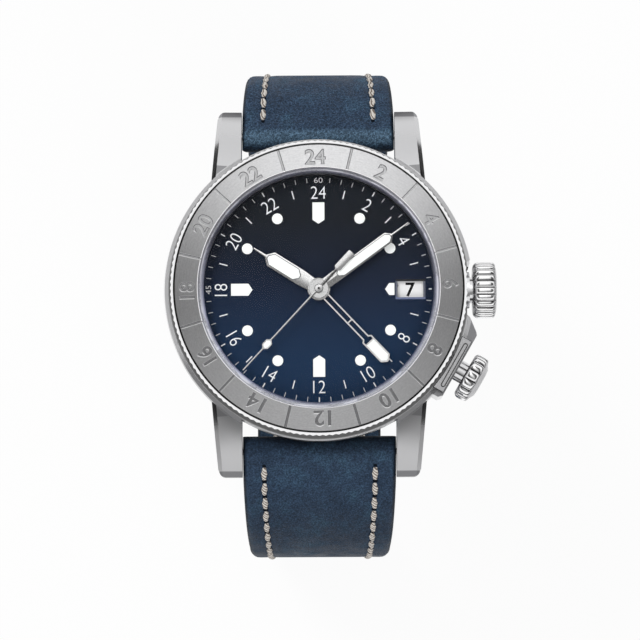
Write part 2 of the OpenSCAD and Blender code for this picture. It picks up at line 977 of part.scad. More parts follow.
module clutch_wheel() {
    color("goldenrod")
        on_crown_axis(clutch_x)
            difference() {
                union() {
                    linear_extrude(0.6)
                        teeth(14, pinion_r * 2 / 16);
                    cylinder(h = 2, r = 0.78);
                    translate([0, 0, 1.35])
                        linear_extrude(0.65)
                            teeth(14, pinion_r * 2 / 16);
                }
                translate([0, 0, -1])
                    cylinder(h = 4, r = stem_r + 0.03);
            }
}

// Levers of the setting work, on the dial side of the plate

module setting_lever() {
    color("lightsteelblue")
        difference() {
            union() {
                translate([0, 0, lever_z])
                    linear_extrude(0.2)
                        translate([groove_x + 0.4, 0])
                            polygon([[-0.3, -0.25], [0.3, -0.25], [0.35, 0.6], [1.15, 2.9],
                                [1.15, 3.7], [0.8, 3.95], [0.1, 3.95], [-0.1, 3.2]]);
                translate([groove_x + 0.4, 0, stem_z + 0.4])
                    cylinder(h = lever_z - stem_z - 0.4 + 0.2, r = 0.2);
            }
            arbor(lever_at, plate_z, lever_z + 1, 0.3);
        }
}

module yoke() {
    color("lightsteelblue")
        difference() {
            union() {
                translate([0, 0, lever_z])
                    linear_extrude(0.2)
                        polygon([[8.8, 3.9], [8.7, 2.9], [9.4, 2.2], [9.52, 0.6],
                            [10.04, 0.6], [10.1, 2.6], [9.9, 3.9]]);
                translate([clutch_x + 0.98, 0.88, lever_z - 0.2])
                    cylinder(h = 0.4, r = 0.14);
            }
            arbor(yoke_at, plate_z, lever_z + 1, 0.3);
        }
}

module setting_wheel() {
    turn = mesh_turn(minute_at, setting_at, minute_n, minute_turn(), setting_n);
    color("goldenrod")
        translate([setting_at[0], setting_at[1], motion_z])
            difference() {
                wheel(setting_n, m_motion, 0.12, turn);
                arbor([0, 0], -1, 1, hole_r);
            }
}

function minute_turn() = mesh_turn([0, 0], minute_at, cannon_n, 0, minute_n);

module minute_wheel() {
    color("goldenrod")
        translate([minute_at[0], minute_at[1], motion_z])
            difference() {
                union() {
                    wheel(minute_n, m_motion, 0.12, minute_turn());
                    linear_extrude(0.72)
                        teeth(minute_p, m_hour);
                }
                arbor([0, 0], -1, 1, hole_r);
            }
}

module cannon_pinion() {
    color("silver")
        difference() {
            union() {
                translate([0, 0, motion_z - 0.05])
                    linear_extrude(0.3)
                        teeth(cannon_n, m_motion);
                arbor([0, 0], motion_z - 0.05, minute_z + hand_t, cannon_r);
            }
            arbor([0, 0], plate_z, minute_z + 1, arbor_r + tube_gap);
        }
}

// Locking crown at 4 o'clock

module lock_crown() {
    color("silver") {
        difference() {
            on_lock_axis(lock_x)
                knob(lock_d, lock_l, 16, 0.4);
            on_lock_axis(lock_x - 1)
                cylinder(h = lock_hollow_l + 1, r = lock_hollow);
        }
        on_lock_axis(lock_tip)
            cylinder(h = lock_x + lock_hollow_l + 0.2 - lock_tip, r = lock_screw_r);
    }
}

module lock_tube() {
    color("silver")
        difference() {
            on_lock_axis(lock_tip + 0.15)
                cylinder(h = lock_x + lock_hollow_l - 0.35 - lock_travel - lock_tip - 0.15,
                    r = lock_tube_r);
            on_lock_axis(lock_tip - 1)
                cylinder(h = 8, r = lock_screw_r + run_gap);
        }
}

module lock_shoe() {
    w = house_w - 1.6;
    z0 = seat_z + 0.03;
    outer = house_r - 0.15;
    mid = (shoe_x + outer) / 2;
    color("silver")
        rotate(lock_a)
            difference() {
                union() {
                    translate([0, 0, z0])
                        linear_extrude(1)
                            difference() {
                                translate([shoe_x - 0.3, -w / 2])
                                    square([outer - shoe_x + 0.3, w]);
                                circle(ring_r + soft_gap);
                            }
                    translate([tab_x, -1.5, lock_z - 1.2])
                        cube([tab_t, 3, z0 - lock_z + 1.3]);
                }
                translate([mid - 0.2, -w / 2 + 0.9, z0 + 0.7])
                    cube([0.5, w - 1.8, 1]);
            }
}

// Movement

module movement_holder() {
    in_r = plate_d / 2 + run_gap;
    color("silver")
        difference() {
            ring(bore_r - run_gap, in_r, back_ring_z, dial_z0);
            on_crown_axis(in_r - 2)
                cylinder(h = 6, r = stem_r + 0.3);
            translate([0, 0, back_ring_z - e])
                for (i = [0 : 2])
                    rotate(70 + 120 * i)
                        translate([in_r - 0.5, -2, 0])
                            cube([1.3, 4, 1.6]);
        }
}

module mainplate() {
    color("lightgray")
        difference() {
            translate([0, 0, plate_z])
                cylinder(h = plate_t, r = plate_d / 2);
            // Pockets of the motion work
            arbor([0, 0], motion_z - 0.1, plate_z + 3, 1.2);
            arbor([0, 0], motion_z + 0.25, plate_z + 3, m_hour * hour_n / 2 + 0.3);
            arbor(minute_at, motion_z - 0.1, plate_z + 3, m_motion * minute_n / 2 + 0.3);
            arbor(setting_at, motion_z - 0.1, plate_z + 3, m_motion * setting_n / 2 + 0.3);
            // Window of the stem's wheels, channel of the stem, and pocket of the levers
            translate([clutch_x - 1, -1.25, plate_z - 1])
                cube([4.8, 2.5, 4]);
            on_crown_axis(stem_x - 0.2)
                cylinder(h = 12, r = stem_r + 0.12);
            translate([6.8, -0.6, lever_z - 0.05])
                cube([10, 4.9, 2]);
            // Bearing holes of the train
            for (p = [second_at, third_at, escape_at, fork_at, balance_at, [0, 0]])
                arbor(p, plate_z - 1, plate_z + 3, hole_r);
            arbor(barrel_at, plate_z - 1, plate_z + 0.5, 0.55);
        }
}

module bridge(a, b, r_in) {
    difference() {
        translate([0, 0, bridge_z])
            linear_extrude(bridge_t)
                difference() {
                    intersection() {
                        circle(plate_d / 2 - 0.25);
                        sector(plate_d, a, b);
                    }
                    circle(r_in);
                }
        for (p = [second_at, third_at, escape_at, [0, 0]])
            arbor(p, bridge_z - 1, plate_z, hole_r);
    }
}

// Pillar under a bridge, at the plate's rim
module pillar(a) {
    arbor(polar(pillar_r, a), bridge_z + bridge_t - e, plate_z, 0.75);
}

module barrel_bridge() {
    color("silver")
        difference() {
            union() {
                bridge(-14, 93, 1.6);
                pillar(8);
                pillar(88);
            }
            arbor(barrel_at, bridge_z - 1, plate_z, 0.6);
            arbor(crown_wheel_at, bridge_z - 1, plate_z, 0.75);
            for (a = [8, 88])
                arbor(polar(pillar_r, a), 0, plate_z + 1, 0.3);
        }
}

module train_bridge() {
    color("silver")
        difference() {
            union() {
                bridge(94, 205, 0);
                intersection() {
                    bridge(0, 359.9, 0);
                    arbor([0, 0], 0, plate_z, 1.5);
                }
                intersection() {
                    bridge(200, 262, 0);
                    arbor([0, 0], 0, plate_z, 5.6);
                }
                pillar(110);
                pillar(200);
            }
            arbor([0, 0], 0, plate_z, hole_r);
            arbor(escape_at, 0, plate_z, hole_r);
            for (a = [110, 200])
                arbor(polar(pillar_r, a), 0, plate_z + 1, 0.3);
        }
}

module balance_cock() {
    foot = polar(pillar_r, -90);
    color("silver")
        difference() {
            union() {
                translate([balance_at[0], balance_at[1], bridge_z])
                    rotate(angle_to(balance_at, foot))
                        linear_extrude(bridge_t)
                            polygon([[0, -1.5], [norm(foot - balance_at) - 0.3, -1],
                                [norm(foot - balance_at) + 0.5, -0.6],
                                [norm(foot - balance_at) + 0.5, 0.6],
                                [norm(foot - balance_at) - 0.3, 1], [0, 1.5]]);
                arbor(balance_at, bridge_z, bridge_z + bridge_t, 1.5);
                pillar(-90);
            }
            arbor(balance_at, 0, plate_z, hole_r);
            arbor(foot, 0, plate_z + 1, 0.3);
        }
}

// Low bridge under the pallet fork, on two posts
module pallet_bridge() {
    z0 = plate_z - 1;
    reach = 2.6;
    color("silver")
        translate([fork_at[0], fork_at[1], 0])
            rotate(-30)
                difference() {
                    union() {
                        translate([-reach, -0.4, z0])
                            cube([2 * reach, 0.8, 0.22]);
                        for (k = [-1, 1])
                            arbor([k * reach, 0], z0, plate_z, 0.4);
                    }
                    arbor([0, 0], z0 - 1, plate_z, hole_r);
                }
}

module bridge_screws() {
    color("steelblue")
        for (a = [8, 88, 110, 200, -90]) {
            arbor(polar(pillar_r, a), bridge_z - 0.25, bridge_z, 0.55);
            arbor(polar(pillar_r, a), bridge_z - 0.1, plate_z, 0.28);
        }
}

module barrel() {
    z0 = plate_z - 1.15;
    z1 = plate_z - 0.15;
    r = m_barrel * barrel_n / 2;
    turn = mesh_turn(second_at, barrel_at, second_p, 0, barrel_n);
    color("goldenrod")
        difference() {
            union() {
                arbor(barrel_at, z0, z1, r - 0.25);
                translate([barrel_at[0], barrel_at[1], z1 - 0.3])
                    linear_extrude(0.3)
                        teeth(barrel_n, m_barrel, turn);
            }
            arbor(barrel_at, z0 + 0.15, z1 - 0.15, r - 0.5);
            arbor(barrel_at, z0 - 1, z1 + 1, 0.55);
        }
}

// Coiled spring inside the barrel, one unbroken strip
module mainspring() {
    z0 = plate_z - 0.95;
    r0 = 0.75;
    r1 = m_barrel * barrel_n / 2 - 0.62;
    t = 0.12;
    steps = spring_turns * 20;
    function at(i, d) = polar(r0 + (r1 - r0) * i / steps + d, i * 18);
    color("slategray")
        translate([barrel_at[0], barrel_at[1], z0])
            linear_extrude(0.6)
                polygon(concat(
                    [for (i = [0 : steps]) at(i, t / 2)],
                    [for (i = [steps : -1 : 0]) at(i, -t / 2)]));
}

module ratchet_wheel() {
    color("lightgray") {
        translate([barrel_at[0], barrel_at[1], wind_z])
            linear_extrude(wind_t)
                teeth(ratchet_n, m_wind);
        arbor(barrel_at, wind_z, plate_z + 0.4, 0.5);
    }
}

module crown_wheel() {
    turn = mesh_turn(barrel_at, crown_wheel_at, ratchet_n, 0, crown_wheel_n);
    color("lightgray") {
        translate([crown_wheel_at[0], crown_wheel_at[1], wind_z])
            linear_extrude(wind_t)
                teeth(crown_wheel_n, m_wind, turn);
        arbor(crown_wheel_at, wind_z, bridge_z + bridge_t + 0.1, 0.68);
    }
}

// Wheel with its pinion on one arbor
module train_piece(at, n, m, z_wheel, turn, np, mp, z_pinion, h_pinion, turn_p) {
    translate([at[0], at[1], z_wheel])
        wheel(n, m, 0.12, turn);
    translate([at[0], at[1], z_pinion])
        linear_extrude(h_pinion)
            teeth(np, mp, turn_p);
    arbor(at, bridge_z + 0.1, plate_z + 0.4);
}

function third_turn_p() = mesh_turn(second_at, third_at, second_n, 0, third_p);
function fourth_turn() = mesh_turn(third_at, [0, 0], third_n, 0, fourth_p);

module second_wheel() {
    color("goldenrod")
        train_piece(second_at, second_n, m_second, plate_z - 1.48, 0,
            second_p, m_barrel, plate_z - 0.5, 0.4, 0);
}

module third_wheel() {
    color("goldenrod")
        train_piece(third_at, third_n, m_third, plate_z - 1, 0,
            third_p, m_second, plate_z - 1.52, 0.25, third_turn_p());
}

module fourth_wheel() {
    color("goldenrod") {
        train_piece([0, 0], fourth_n, m_fourth, plate_z - 0.35, 0,
            fourth_p, m_third, plate_z - 1.05, 0.25, fourth_turn());
        arbor([0, 0], plate_z, second_z, arbor_r);
    }
}

module escape_wheel() {
    r = 2.05;
    color("goldenrod") {
        translate([escape_at[0], escape_at[1], plate_z - 0.7])
            linear_extrude(0.15)
                difference() {
                    polygon([for (i = [0 : escape_n - 1], k = [[0, r], [4, r], [5, r * 0.82]])
                        polar(k[1], i * 360 / escape_n + k[0])]);
                    difference() {
                        circle(r * 0.7);
                        circle(r * 0.26);
                        for (i = [0 : 3])
                            rotate(90 * i)
                                translate([0, -0.12])
                                    square([r, 0.24]);
                    }
                }
        translate([escape_at[0], escape_at[1], plate_z - 0.48])
            linear_extrude(0.35)
                teeth(escape_p, m_fourth,
                    mesh_turn([0, 0], escape_at, fourth_n, 0, escape_p));
        arbor(escape_at, bridge_z + 0.1, plate_z + 0.4);
    }
}

module pallet_fork() {
    arm = 1.25;
    color("lightgray") {
        translate([fork_at[0], fork_at[1], plate_z - 0.7])
            rotate(-120)
                linear_extrude(0.15) {
                    translate([-0.5, -arm])
                        square([0.35, 2 * arm]);
                    translate([-0.5, -0.18])
                        square([2.3, 0.36]);
                    for (k = [-1, 1])
                        translate([1.75, k * 0.27 - 0.1])
                            square([0.4, 0.2]);
                }
        arbor(fork_at, plate_z - 1, plate_z + 0.3);
    }
}

module balance() {
    r = balance_d / 2;
    rim = 0.42;
    z0 = plate_z - 1.38;
    color("goldenrod") {
        translate([balance_at[0], balance_at[1], z0])
            linear_extrude(0.3)
                union() {
                    difference() {
                        circle(r);
                        circle(r - rim);
                    }
                    for (i = [0 : 2])
                        rotate(30 + 120 * i)
                            translate([0, -0.2])
                                square([r - rim / 2, 0.4]);
                    circle(0.6);
                }
        arbor(balance_at, bridge_z + 0.1, plate_z + 0.4, 0.13);
        arbor(balance_at, z0 + 0.3, plate_z - 0.62, 0.5);
        arbor(balance_at, z0 - 0.2, z0, 0.4);
    }
}

// Flat spiral of the balance, one unbroken strip
module hairspring() {
    turns = 6;
    steps = turns * 20;
    r0 = 0.45;
    r1 = 2.3;
    t = 0.06;
    function at(i, d) = polar(r0 + (r1 - r0) * i / steps + d, i * 18);
    color("lightsteelblue")
        translate([balance_at[0], balance_at[1], plate_z - 1.56]) {
            linear_extrude(0.1)
                polygon(concat(
                    [for (i = [0 : steps]) at(i, t / 2)],
                    [for (i = [steps : -1 : 0]) at(i, -t / 2)]));
            translate([r1, 0, -e])
                cylinder(h = 0.1 + e, r = 0.12);
        }
}

module date_ring() {
    n = 31;
    color("white")
        translate([0, 0, date_z])
            linear_extrude(date_t)
                difference() {
                    circle(date_out);
                    polygon([for (i = [0 : n - 1], k = [[0, 0], [0.25, 0.45], [0.5, 0]])
                        polar(date_in + k[1], (i + k[0]) * 360 / n)]);
                }
}

module date_plate() {
    z0 = date_z + date_t + run_gap;
    color("lightgray")
        difference() {
            translate([0, 0, z0])
                cylinder(h = dial_z0 - z0 - 0.05, r = date_in + 0.2);
            arbor([0, 0], z0 - 1, dial_z0 + 1, gmt_tube_r + 0.1);
            translate([0, 0, z0 - 1])
                linear_extrude(3)
                    for (i = [0 : 2])
                        rotate(100 + 110 * i)
                            translate([7.5, 0])
                                circle(1.6);
        }
}

// Automatic work

module automatic_bridge() {
    color("silver")
        difference() {
            union() {
                translate([0, 0, auto_z])
                    linear_extrude(bridge_z - auto_z)
                        difference() {
                            intersection() {
                                circle(9.6);
                                sector(20, 118, 232);
                            }
                            circle(m_auto * rotor_teeth / 2 + 0.35);
                        }
                arbor([0, 0], rotor_z + 0.05, bridge_z, bearing_r);
                translate([0, 0, bridge_z - 0.12])
                    linear_extrude(0.12)
                        intersection() {
                            circle(9);
                            sector(20, 118, 232);
                        }
            }
            arbor([0, 0], auto_z, plate_z, hole_r);
        }
}

module rotor() {
    r = rotor_d / 2;
    z1 = rotor_z + 0.2;
    color("silver")
        difference() {
            union() {
                translate([0, 0, rotor_z])
                    linear_extrude(0.75)
                        difference() {
                            intersection() {
                                circle(r);
                                sector(r + 4, 180, 360);
                            }
                            circle(r - 2.9);
                        }
                translate([0, 0, z1])
                    linear_extrude(0.2)
                        intersection() {
                            circle(r - 2.5);
                            sector(r + 4, 183, 357);
                        }
                arbor([0, 0], rotor_z + 0.1, z1 + 0.35, 1.9);
                translate([0, 0, z1])
                    linear_extrude(0.6)
                        teeth(rotor_teeth, m_auto);
            }
            arbor([0, 0], 0, plate_z, bearing_r + 0.04);
            linear_extrude(plate_z)
                for (a = [205, 335])
                    rotate(a)
                        translate([6.3, 0])
                            circle(2);
        }
}

// Strap and buckle

module spring_bars() {
    color("silver")
        for (k = [-1, 1])
            translate([0, k * bar_y, bar_z])
                rotate([0, 90, 0]) {
                    cylinder(h = lug_gap - 0.2, r = bar_r, center = true);
                    cylinder(h = lug_gap + 2 * bar_tip_l, r = bar_tip_r, center = true);
                }
}

// Padded strap from the spring bar on, with a true bore for it
module strap_body(way, l) {
    difference() {
        intersection() {
            union() {
                strap_side_view(way, l);
                translate([0, bar_y, bar_z])
                    rotate([0, 90, 0])
                        cylinder(h = strap_w, r = roll_r, center = true);
                children();
            }
            strap_taper();
        }
        translate([0, bar_y, bar_z])
            rotate([0, 90, 0])
                cylinder(h = strap_w + 2, r = bar_r + run_gap, center = true);
    }
}

// Loop of leather round the strap, with room for the other half above it
module keeper_ring(s, gap) {
    w = strap_w_at(strap_pos(buckle_way, s)[1]) + 2 * gap;
    h = strap_half_t(buckle_way, s);
    tall = 4 * h + 0.8 + gap;
    on_strap(buckle_way, s)
        translate([0, -keeper_l / 2, -h - gap])
            rotate([-90, 0, 0])
                mirror([0, 1, 0])
                    linear_extrude(keeper_l)
                        difference() {
                            translate([-w / 2 - keeper_wall, -keeper_wall])
                                square([w + 2 * keeper_wall, tall + 2 * keeper_wall]);
                            translate([-w / 2, 0])
                                square([w, tall]);
                        }
}

module strap_buckle_side() {
    color("steelblue")
        difference() {
            union() {
                strap_body(buckle_way, buckle_half)
                    on_strap(buckle_way, buckle_half)
                        rotate([0, 90, 0])
                            cylinder(h = strap_end_w, r = end_t / 2, center = true);
                keeper_ring(fixed_keeper_s, 0);
            }
            on_strap(buckle_way, buckle_half)
                rotate([0, 90, 0])
                    cylinder(h = strap_end_w + 2, r = bar_r + run_gap, center = true);
            on_strap(buckle_way, buckle_half)
                translate([-tongue_w / 2 - soft_gap, -7, -3])
                    cube([tongue_w + 2 * soft_gap, 12, 6]);
        }
}

module strap_tail_side() {
    tip = tail_half - foot_run(tail_way);
    color("steelblue")
        mirror([0, 1, 0])
            difference() {
                strap_body(tail_way, tail_half);
                for (i = [0 : hole_count - 1])
                    on_strap(tail_way, tail_half - first_hole - i * hole_pitch)
                        cylinder(h = 8, r = hole_d / 2, center = true);
                translate([0, tail_end[0] - tip, tail_end[1] - 3])
                    linear_extrude(6)
                        difference() {
                            translate([-15, -1])
                                square([30, strap_end_w / 2 + 1]);
                            translate([0, strap_end_w / 2])
                                circle(strap_end_w / 2);
                            translate([-15, strap_end_w / 2])
                                square([30, 10]);
                        }
            }
}

module free_keeper() {
    color("steelblue")
        keeper_ring(free_keeper_s, 0.4);
}

// Frame at rest: it lies flat on what the strap stands on
module buckle_frame() {
    front = buckle_at[0] - buckle_l;
    r = 2.2;
    color("silver")
        difference() {
            union() {
                translate([0, 0, floor_z])
                    linear_extrude(buckle_t)
                        difference() {
                            translate([-buckle_w / 2, front])
                                square([buckle_w, buckle_l + 0.6]);
                            translate([-buckle_in / 2, front + buckle_front])
                                square([buckle_in, buckle_l]);
                            for (k = [-1, 1])
                                translate([k * (buckle_w / 2 - r), front + r])
                                    difference() {
                                        translate([k > 0 ? 0 : -r - 1, -r - 1])
                                            square([r + 1, r + 1]);
                                        circle(r);
                                    }
                        }
                for (k = [-1, 1])
                    translate([k * (buckle_in + buckle_w) / 4, buckle_at[0], buckle_at[1]])
                        rotate([0, 90, 0])
                            cylinder(h = (buckle_w - buckle_in) / 2, r = eye_r, center = true);
            }
            translate([0, buckle_at[0], buckle_at[1]])
                rotate([0, 90, 0])
                    cylinder(h = buckle_w - 1.2, r = bar_r + run_gap, center = true);
            translate([-1.4, front - 1, floor_z + buckle_t - 0.35])
                cube([2.8, buckle_front + 2, 2]);
        }
}

module buckle_tongue() {
    front = buckle_at[0] - buckle_l;
    z0 = floor_z + buckle_t - 0.33;
    eye = eye_r - 0.15;
    color("silver")
        difference() {
            union() {
                translate([0, buckle_at[0], buckle_at[1]])
                    rotate([0, 90, 0])
                        cylinder(h = tongue_w, r = eye, center = true);
                translate([0, 0, z0])
                    linear_extrude(0.95)
                        polygon([[-0.7, front + 0.5], [0.7, front + 0.5],
                            [tongue_w / 2, buckle_at[0]], [-tongue_w / 2, buckle_at[0]]]);
            }
            translate([0, buckle_at[0], buckle_at[1]])
                rotate([0, 90, 0])
                    cylinder(h = 6, r = bar_r + run_gap, center = true);
        }
}

module buckle_bar() {
    color("silver")
        translate([0, buckle_at[0], buckle_at[1]])
            rotate([0, 90, 0])
                cylinder(h = buckle_w - 1.3, r = bar_r, center = true);
}

case_middle();
case_back();
back_gasket();
crystal();
crystal_gasket();
flange_ring();
turning_ring();
ring_spring();
dial();
dial_markers();
hour_hand();
hour_hand_lume();
minute_hand();
minute_hand_lume();
seconds_hand();
gmt_hand();
gmt_hand_lume();
crown();
crown_tube();
crown_gasket();
winding_stem();
winding_pinion();
clutch_wheel();
setting_lever();
yoke();
setting_wheel();
minute_wheel();
cannon_pinion();
lock_crown();
lock_tube();
lock_shoe();
movement_holder();
mainplate();
barrel_bridge();
train_bridge();
balance_cock();
pallet_bridge();
bridge_screws();
barrel();
mainspring();
ratchet_wheel();
crown_wheel();
second_wheel();
third_wheel();
fourth_wheel();
escape_wheel();
pallet_fork();
balance();
hairspring();
date_ring();
date_plate();
automatic_bridge();
rotor();
spring_bars();
strap_buckle_side();
strap_tail_side();
free_keeper();
buckle_frame();
buckle_tongue();
buckle_bar();
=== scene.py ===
import math
import random

import bmesh
import bpy
from mathutils import Matrix, Vector


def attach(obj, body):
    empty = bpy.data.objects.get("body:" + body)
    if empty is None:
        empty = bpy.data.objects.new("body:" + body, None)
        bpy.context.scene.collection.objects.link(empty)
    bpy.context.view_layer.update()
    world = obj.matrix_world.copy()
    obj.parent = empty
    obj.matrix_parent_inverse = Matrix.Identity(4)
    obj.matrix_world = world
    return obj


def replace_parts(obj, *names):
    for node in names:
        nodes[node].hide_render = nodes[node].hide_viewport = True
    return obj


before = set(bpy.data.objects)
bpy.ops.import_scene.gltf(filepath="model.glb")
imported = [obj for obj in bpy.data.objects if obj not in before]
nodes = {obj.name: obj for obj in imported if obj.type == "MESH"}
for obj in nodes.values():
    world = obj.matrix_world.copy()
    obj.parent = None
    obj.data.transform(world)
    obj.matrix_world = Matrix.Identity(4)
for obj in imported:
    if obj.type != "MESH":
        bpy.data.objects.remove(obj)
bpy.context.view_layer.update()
mm = 0.001
print("frame loaded:", len(nodes), "nodes")


def tone(red, green, blue):  # a colour from 0 to 255, as it should look
    def linear(part):
        part /= 255
        return part / 12.92 if part <= 0.04045 else ((part + 0.055) / 1.055) ** 2.4
    return linear(red), linear(green), linear(blue), 1


def grey(level, cool=0.01):  # a steel's colour, a touch bluer with cool
    return level, level, level + cool, 1


class Wire:  # a socket that can be used in sums
    def __init__(self, paint, socket):
        self.paint = paint
        self.socket = socket

    def sum(self, operation, first, second):
        kinds = [side.socket.type for side in (first, second) if isinstance(side, Wire)]
        if "RGBA" in kinds:
            return self.paint.mix(1, first, second, operation)
        kind = "VectorMath" if "VECTOR" in kinds else "Math"
        return self.paint.node(kind, {"operation": operation}, {0: first, 1: second})

    def __add__(self, other):
        return self.sum("ADD", self, other)

    def __sub__(self, other):
        return self.sum("SUBTRACT", self, other)

    def __mul__(self, other):
        return self.sum("MULTIPLY", self, other)

    def __truediv__(self, other):
        return self.sum("DIVIDE", self, other)

    def __pow__(self, other):
        return self.sum("POWER", self, other)

    def __gt__(self, other):
        return self.sum("GREATER_THAN", self, other)

    def __lt__(self, other):
        return self.sum("LESS_THAN", self, other)

    def __rsub__(self, other):
        return self.sum("SUBTRACT", other, self)

    def __rtruediv__(self, other):
        return self.sum("DIVIDE", other, self)

    def __abs__(self):
        return self.paint.node("Math", {"operation": "ABSOLUTE"}, {0: self})

    __radd__ = __add__
    __rmul__ = __mul__


class Paint:  # one material
    labels = {"base": "Base Color", "metal": "Metallic", "rough": "Roughness", "alpha": "Alpha",
              "normal": "Normal", "specular": "Specular IOR Level", "aniso": "Anisotropic",
              "sheen": "Sheen Weight", "glow": "Emission Strength",
              "glowColor": "Emission Color"}

    def __init__(self, name, **values):
        self.material = bpy.data.materials.new(name)
        self.material.use_nodes = True
        self.tree = self.material.node_tree
        self.shader = self.tree.nodes["Principled BSDF"]
        self.set(**values)

    def set(self, **values):
        for key, value in values.items():
            self.plug(value, self.shader.inputs[self.labels[key]])

    def cover(self, shader):  # the surface shows this shader instead
        self.plug(shader, self.tree.nodes["Material Output"].inputs["Surface"])

    def plug(self, value, socket):
        if isinstance(value, Wire):
            self.tree.links.new(value.socket, socket)
        elif socket.type == "VECTOR" and not hasattr(value, "__len__"):
            socket.default_value = (value, value, value)
        else:
            socket.default_value = value

    def node(self, kind, settings=None, sockets=None, out=0):
        made = self.tree.nodes.new("ShaderNode" + kind)
        for key, value in (settings or {}).items():
            if key == "stops":
                ramp = made.color_ramp
                while len(ramp.elements) < len(value):
                    ramp.elements.new(0.5)
                for stop, (place, color) in zip(ramp.elements, value):
                    stop.position = place
                    stop.color = color
            else:
                setattr(made, key, value)
        for key, value in (sockets or {}).items():
            self.plug(value, made.inputs[key])
        return Wire(self, made.outputs[out])

    def mix(self, share, first, second, blend="MIX"):
        settings = {"data_type": "RGBA", "blend_type": blend}
        return self.node("Mix", settings, {0: share, 6: first, 7: second}, 2)

    def layers(self, base, *coats):  # coats: pairs of share and colour, one over the other
        for share, color in coats:
            base = self.mix(share, base, color)
        return base

    def place(self):  # where a point is, in millimetres
        return self.node("TexCoord", out="Object") * 1000

    def parts(self, vector):
        split = self.node("SeparateXYZ", {}, {0: vector})
        return [Wire(self, output) for output in split.socket.node.outputs]

    def facing(self):  # parts of the surface's direction
        return self.parts(self.node("NewGeometry", out="Normal"))

    def join(self, x, y, z):
        return self.node("CombineXYZ", {}, {0: x, 1: y, 2: z})

    def even(self, level):  # a grey from one value
        return self.node("CombineColor", {}, {0: level, 1: level, 2: level})

    def noise(self, vector, scale=1, detail=3, rough=0.5):
        sockets = {"Vector": vector, "Scale": scale, "Detail": detail, "Roughness": rough}
        return self.node("TexNoise", {}, sockets)

    def cells(self, vector, scale, feature="F1"):
        return self.node("TexVoronoi", {"feature": feature}, {"Vector": vector, "Scale": scale})

    def waves(self, scale, distortion, **settings):
        sockets = {"Vector": self.place(), "Scale": scale, "Distortion": distortion}
        return self.node("TexWave", settings, sockets, "Fac")

    def ramp(self, value, *stops):
        return self.node("ValToRGB", {"stops": stops}, {0: value})

    def span(self, value, low, high, start=0, end=1):  # value from low to high becomes start to end
        sockets = {0: value, 1: low, 2: high, 3: start, 4: end}
        return self.node("MapRange", {"interpolation_type": "SMOOTHSTEP"}, sockets)

    def uneven(self, noise, low, high):  # the middle of a noise spread from low to high
        return self.span(noise, 0.3, 0.7, low, high)

    def length(self, x, y):
        return (x * x + y * y) ** 0.5

    def bump(self, height, strength, depth=0.00002):
        sockets = {"Height": height, "Strength": strength, "Distance": depth}
        return self.node("Bump", {}, sockets)

    def light(self, color):
        return self.node("Emission", {}, {"Color": color, "Strength": 1})

    def seen(self):  # 1 where the camera looks straight, by reflection or through glass
        rays = self.node("LightPath").socket.node.outputs
        return sum(Wire(self, rays[kind]) for kind in
                   ("Is Camera Ray", "Is Glossy Ray", "Is Transmission Ray"))


# Mesh helpers, all in millimetres

class Heap:  # points and faces gathered for one mesh
    def __init__(self):
        self.points = []
        self.faces = []

    def add(self, shape, move=None):
        points, faces = shape
        start = len(self.points)
        self.points += [move @ Vector(p) if move else Vector(p) for p in points]
        self.faces += [[start + i for i in face] for face in faces]
        return self

    def build(self, name, paint=None, body=None, slot=None, sharp=35):
        mesh = bpy.data.meshes.new(name)
        mesh.from_pydata([p * mm for p in self.points], [], self.faces)
        made = linked(name, mesh)
        return dress(made, paint, body, sharp) if paint else made


def linked(name, data):
    made = bpy.data.objects.new(name, data)
    bpy.context.scene.collection.objects.link(made)
    return made


def evaluated(made):
    graph = bpy.context.evaluated_depsgraph_get()
    return bpy.data.meshes.new_from_object(made.evaluated_get(graph))


def clean(mesh):  # doubled points welded, faces turned outwards and smooth
    work = bmesh.new()
    work.from_mesh(mesh)
    bmesh.ops.remove_doubles(work, verts=work.verts, dist=0.0005 * mm)
    bmesh.ops.recalc_face_normals(work, faces=work.faces)
    for face in work.faces:
        face.smooth = True
    work.to_mesh(mesh)
    work.free()


def dress(made, paint, body, sharp=35):
    clean(made.data)
    made.data.set_sharp_from_angle(angle=math.radians(sharp))
    made.data.materials.clear()
    made.data.materials.append(paint.material)
    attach(made, body)
    return made


def coverSolids(paint, *names):  # the finish of solids that stay as the frame has them
    for name in names:
        nodes[name].data.materials[0] = paint.material


def settle(made, kind, **settings):  # adds a modifier and applies it
    modifier = made.modifiers.new(kind, kind)
    for key, value in settings.items():
        setattr(modifier, key, value)
    mesh = evaluated(made)
    made.modifiers.clear()
    made.data = mesh


def combine(made, tool, operation, crossing=False):  # crossing: the tool may cross itself
    settle(made, "BOOLEAN", operation=operation, solver="EXACT", use_self=crossing, object=tool)
    bpy.data.objects.remove(tool)


def cut(made, heap, crossing=False):
    tool = heap.build("cutter")
    clean(tool.data)
    combine(made, tool, "DIFFERENCE", crossing)


def around(count):  # angles of one turn, in equal steps
    return [2 * math.pi * i / count for i in range(count)]


def loft(rings, closedWay=False, caps=True):  # a skin from ring to ring, and back to the first
    count, rows = len(rings[0]), len(rings)
    faces = []
    for i in range(rows if closedWay else rows - 1):
        k = (i + 1) % rows
        for j in range(count):
            n = (j + 1) % count
            faces.append((i * count + j, i * count + n, k * count + n, k * count + j))
    if caps and not closedWay:
        faces.append(tuple(range(count))[::-1])
        faces.append(tuple((rows - 1) * count + j for j in range(count)))
    return [p for ring in rings for p in ring], faces


def revolve(profile, steps=96, closed=True):  # profile of (radius, height), if open then capped
    if closed:
        return loft([[(r * math.cos(a), r * math.sin(a), z) for r, z in profile]
                     for a in around(steps)], closedWay=True)
    return loft([[(r * math.cos(a), r * math.sin(a), z) for a in around(steps)]
                 for r, z in profile])


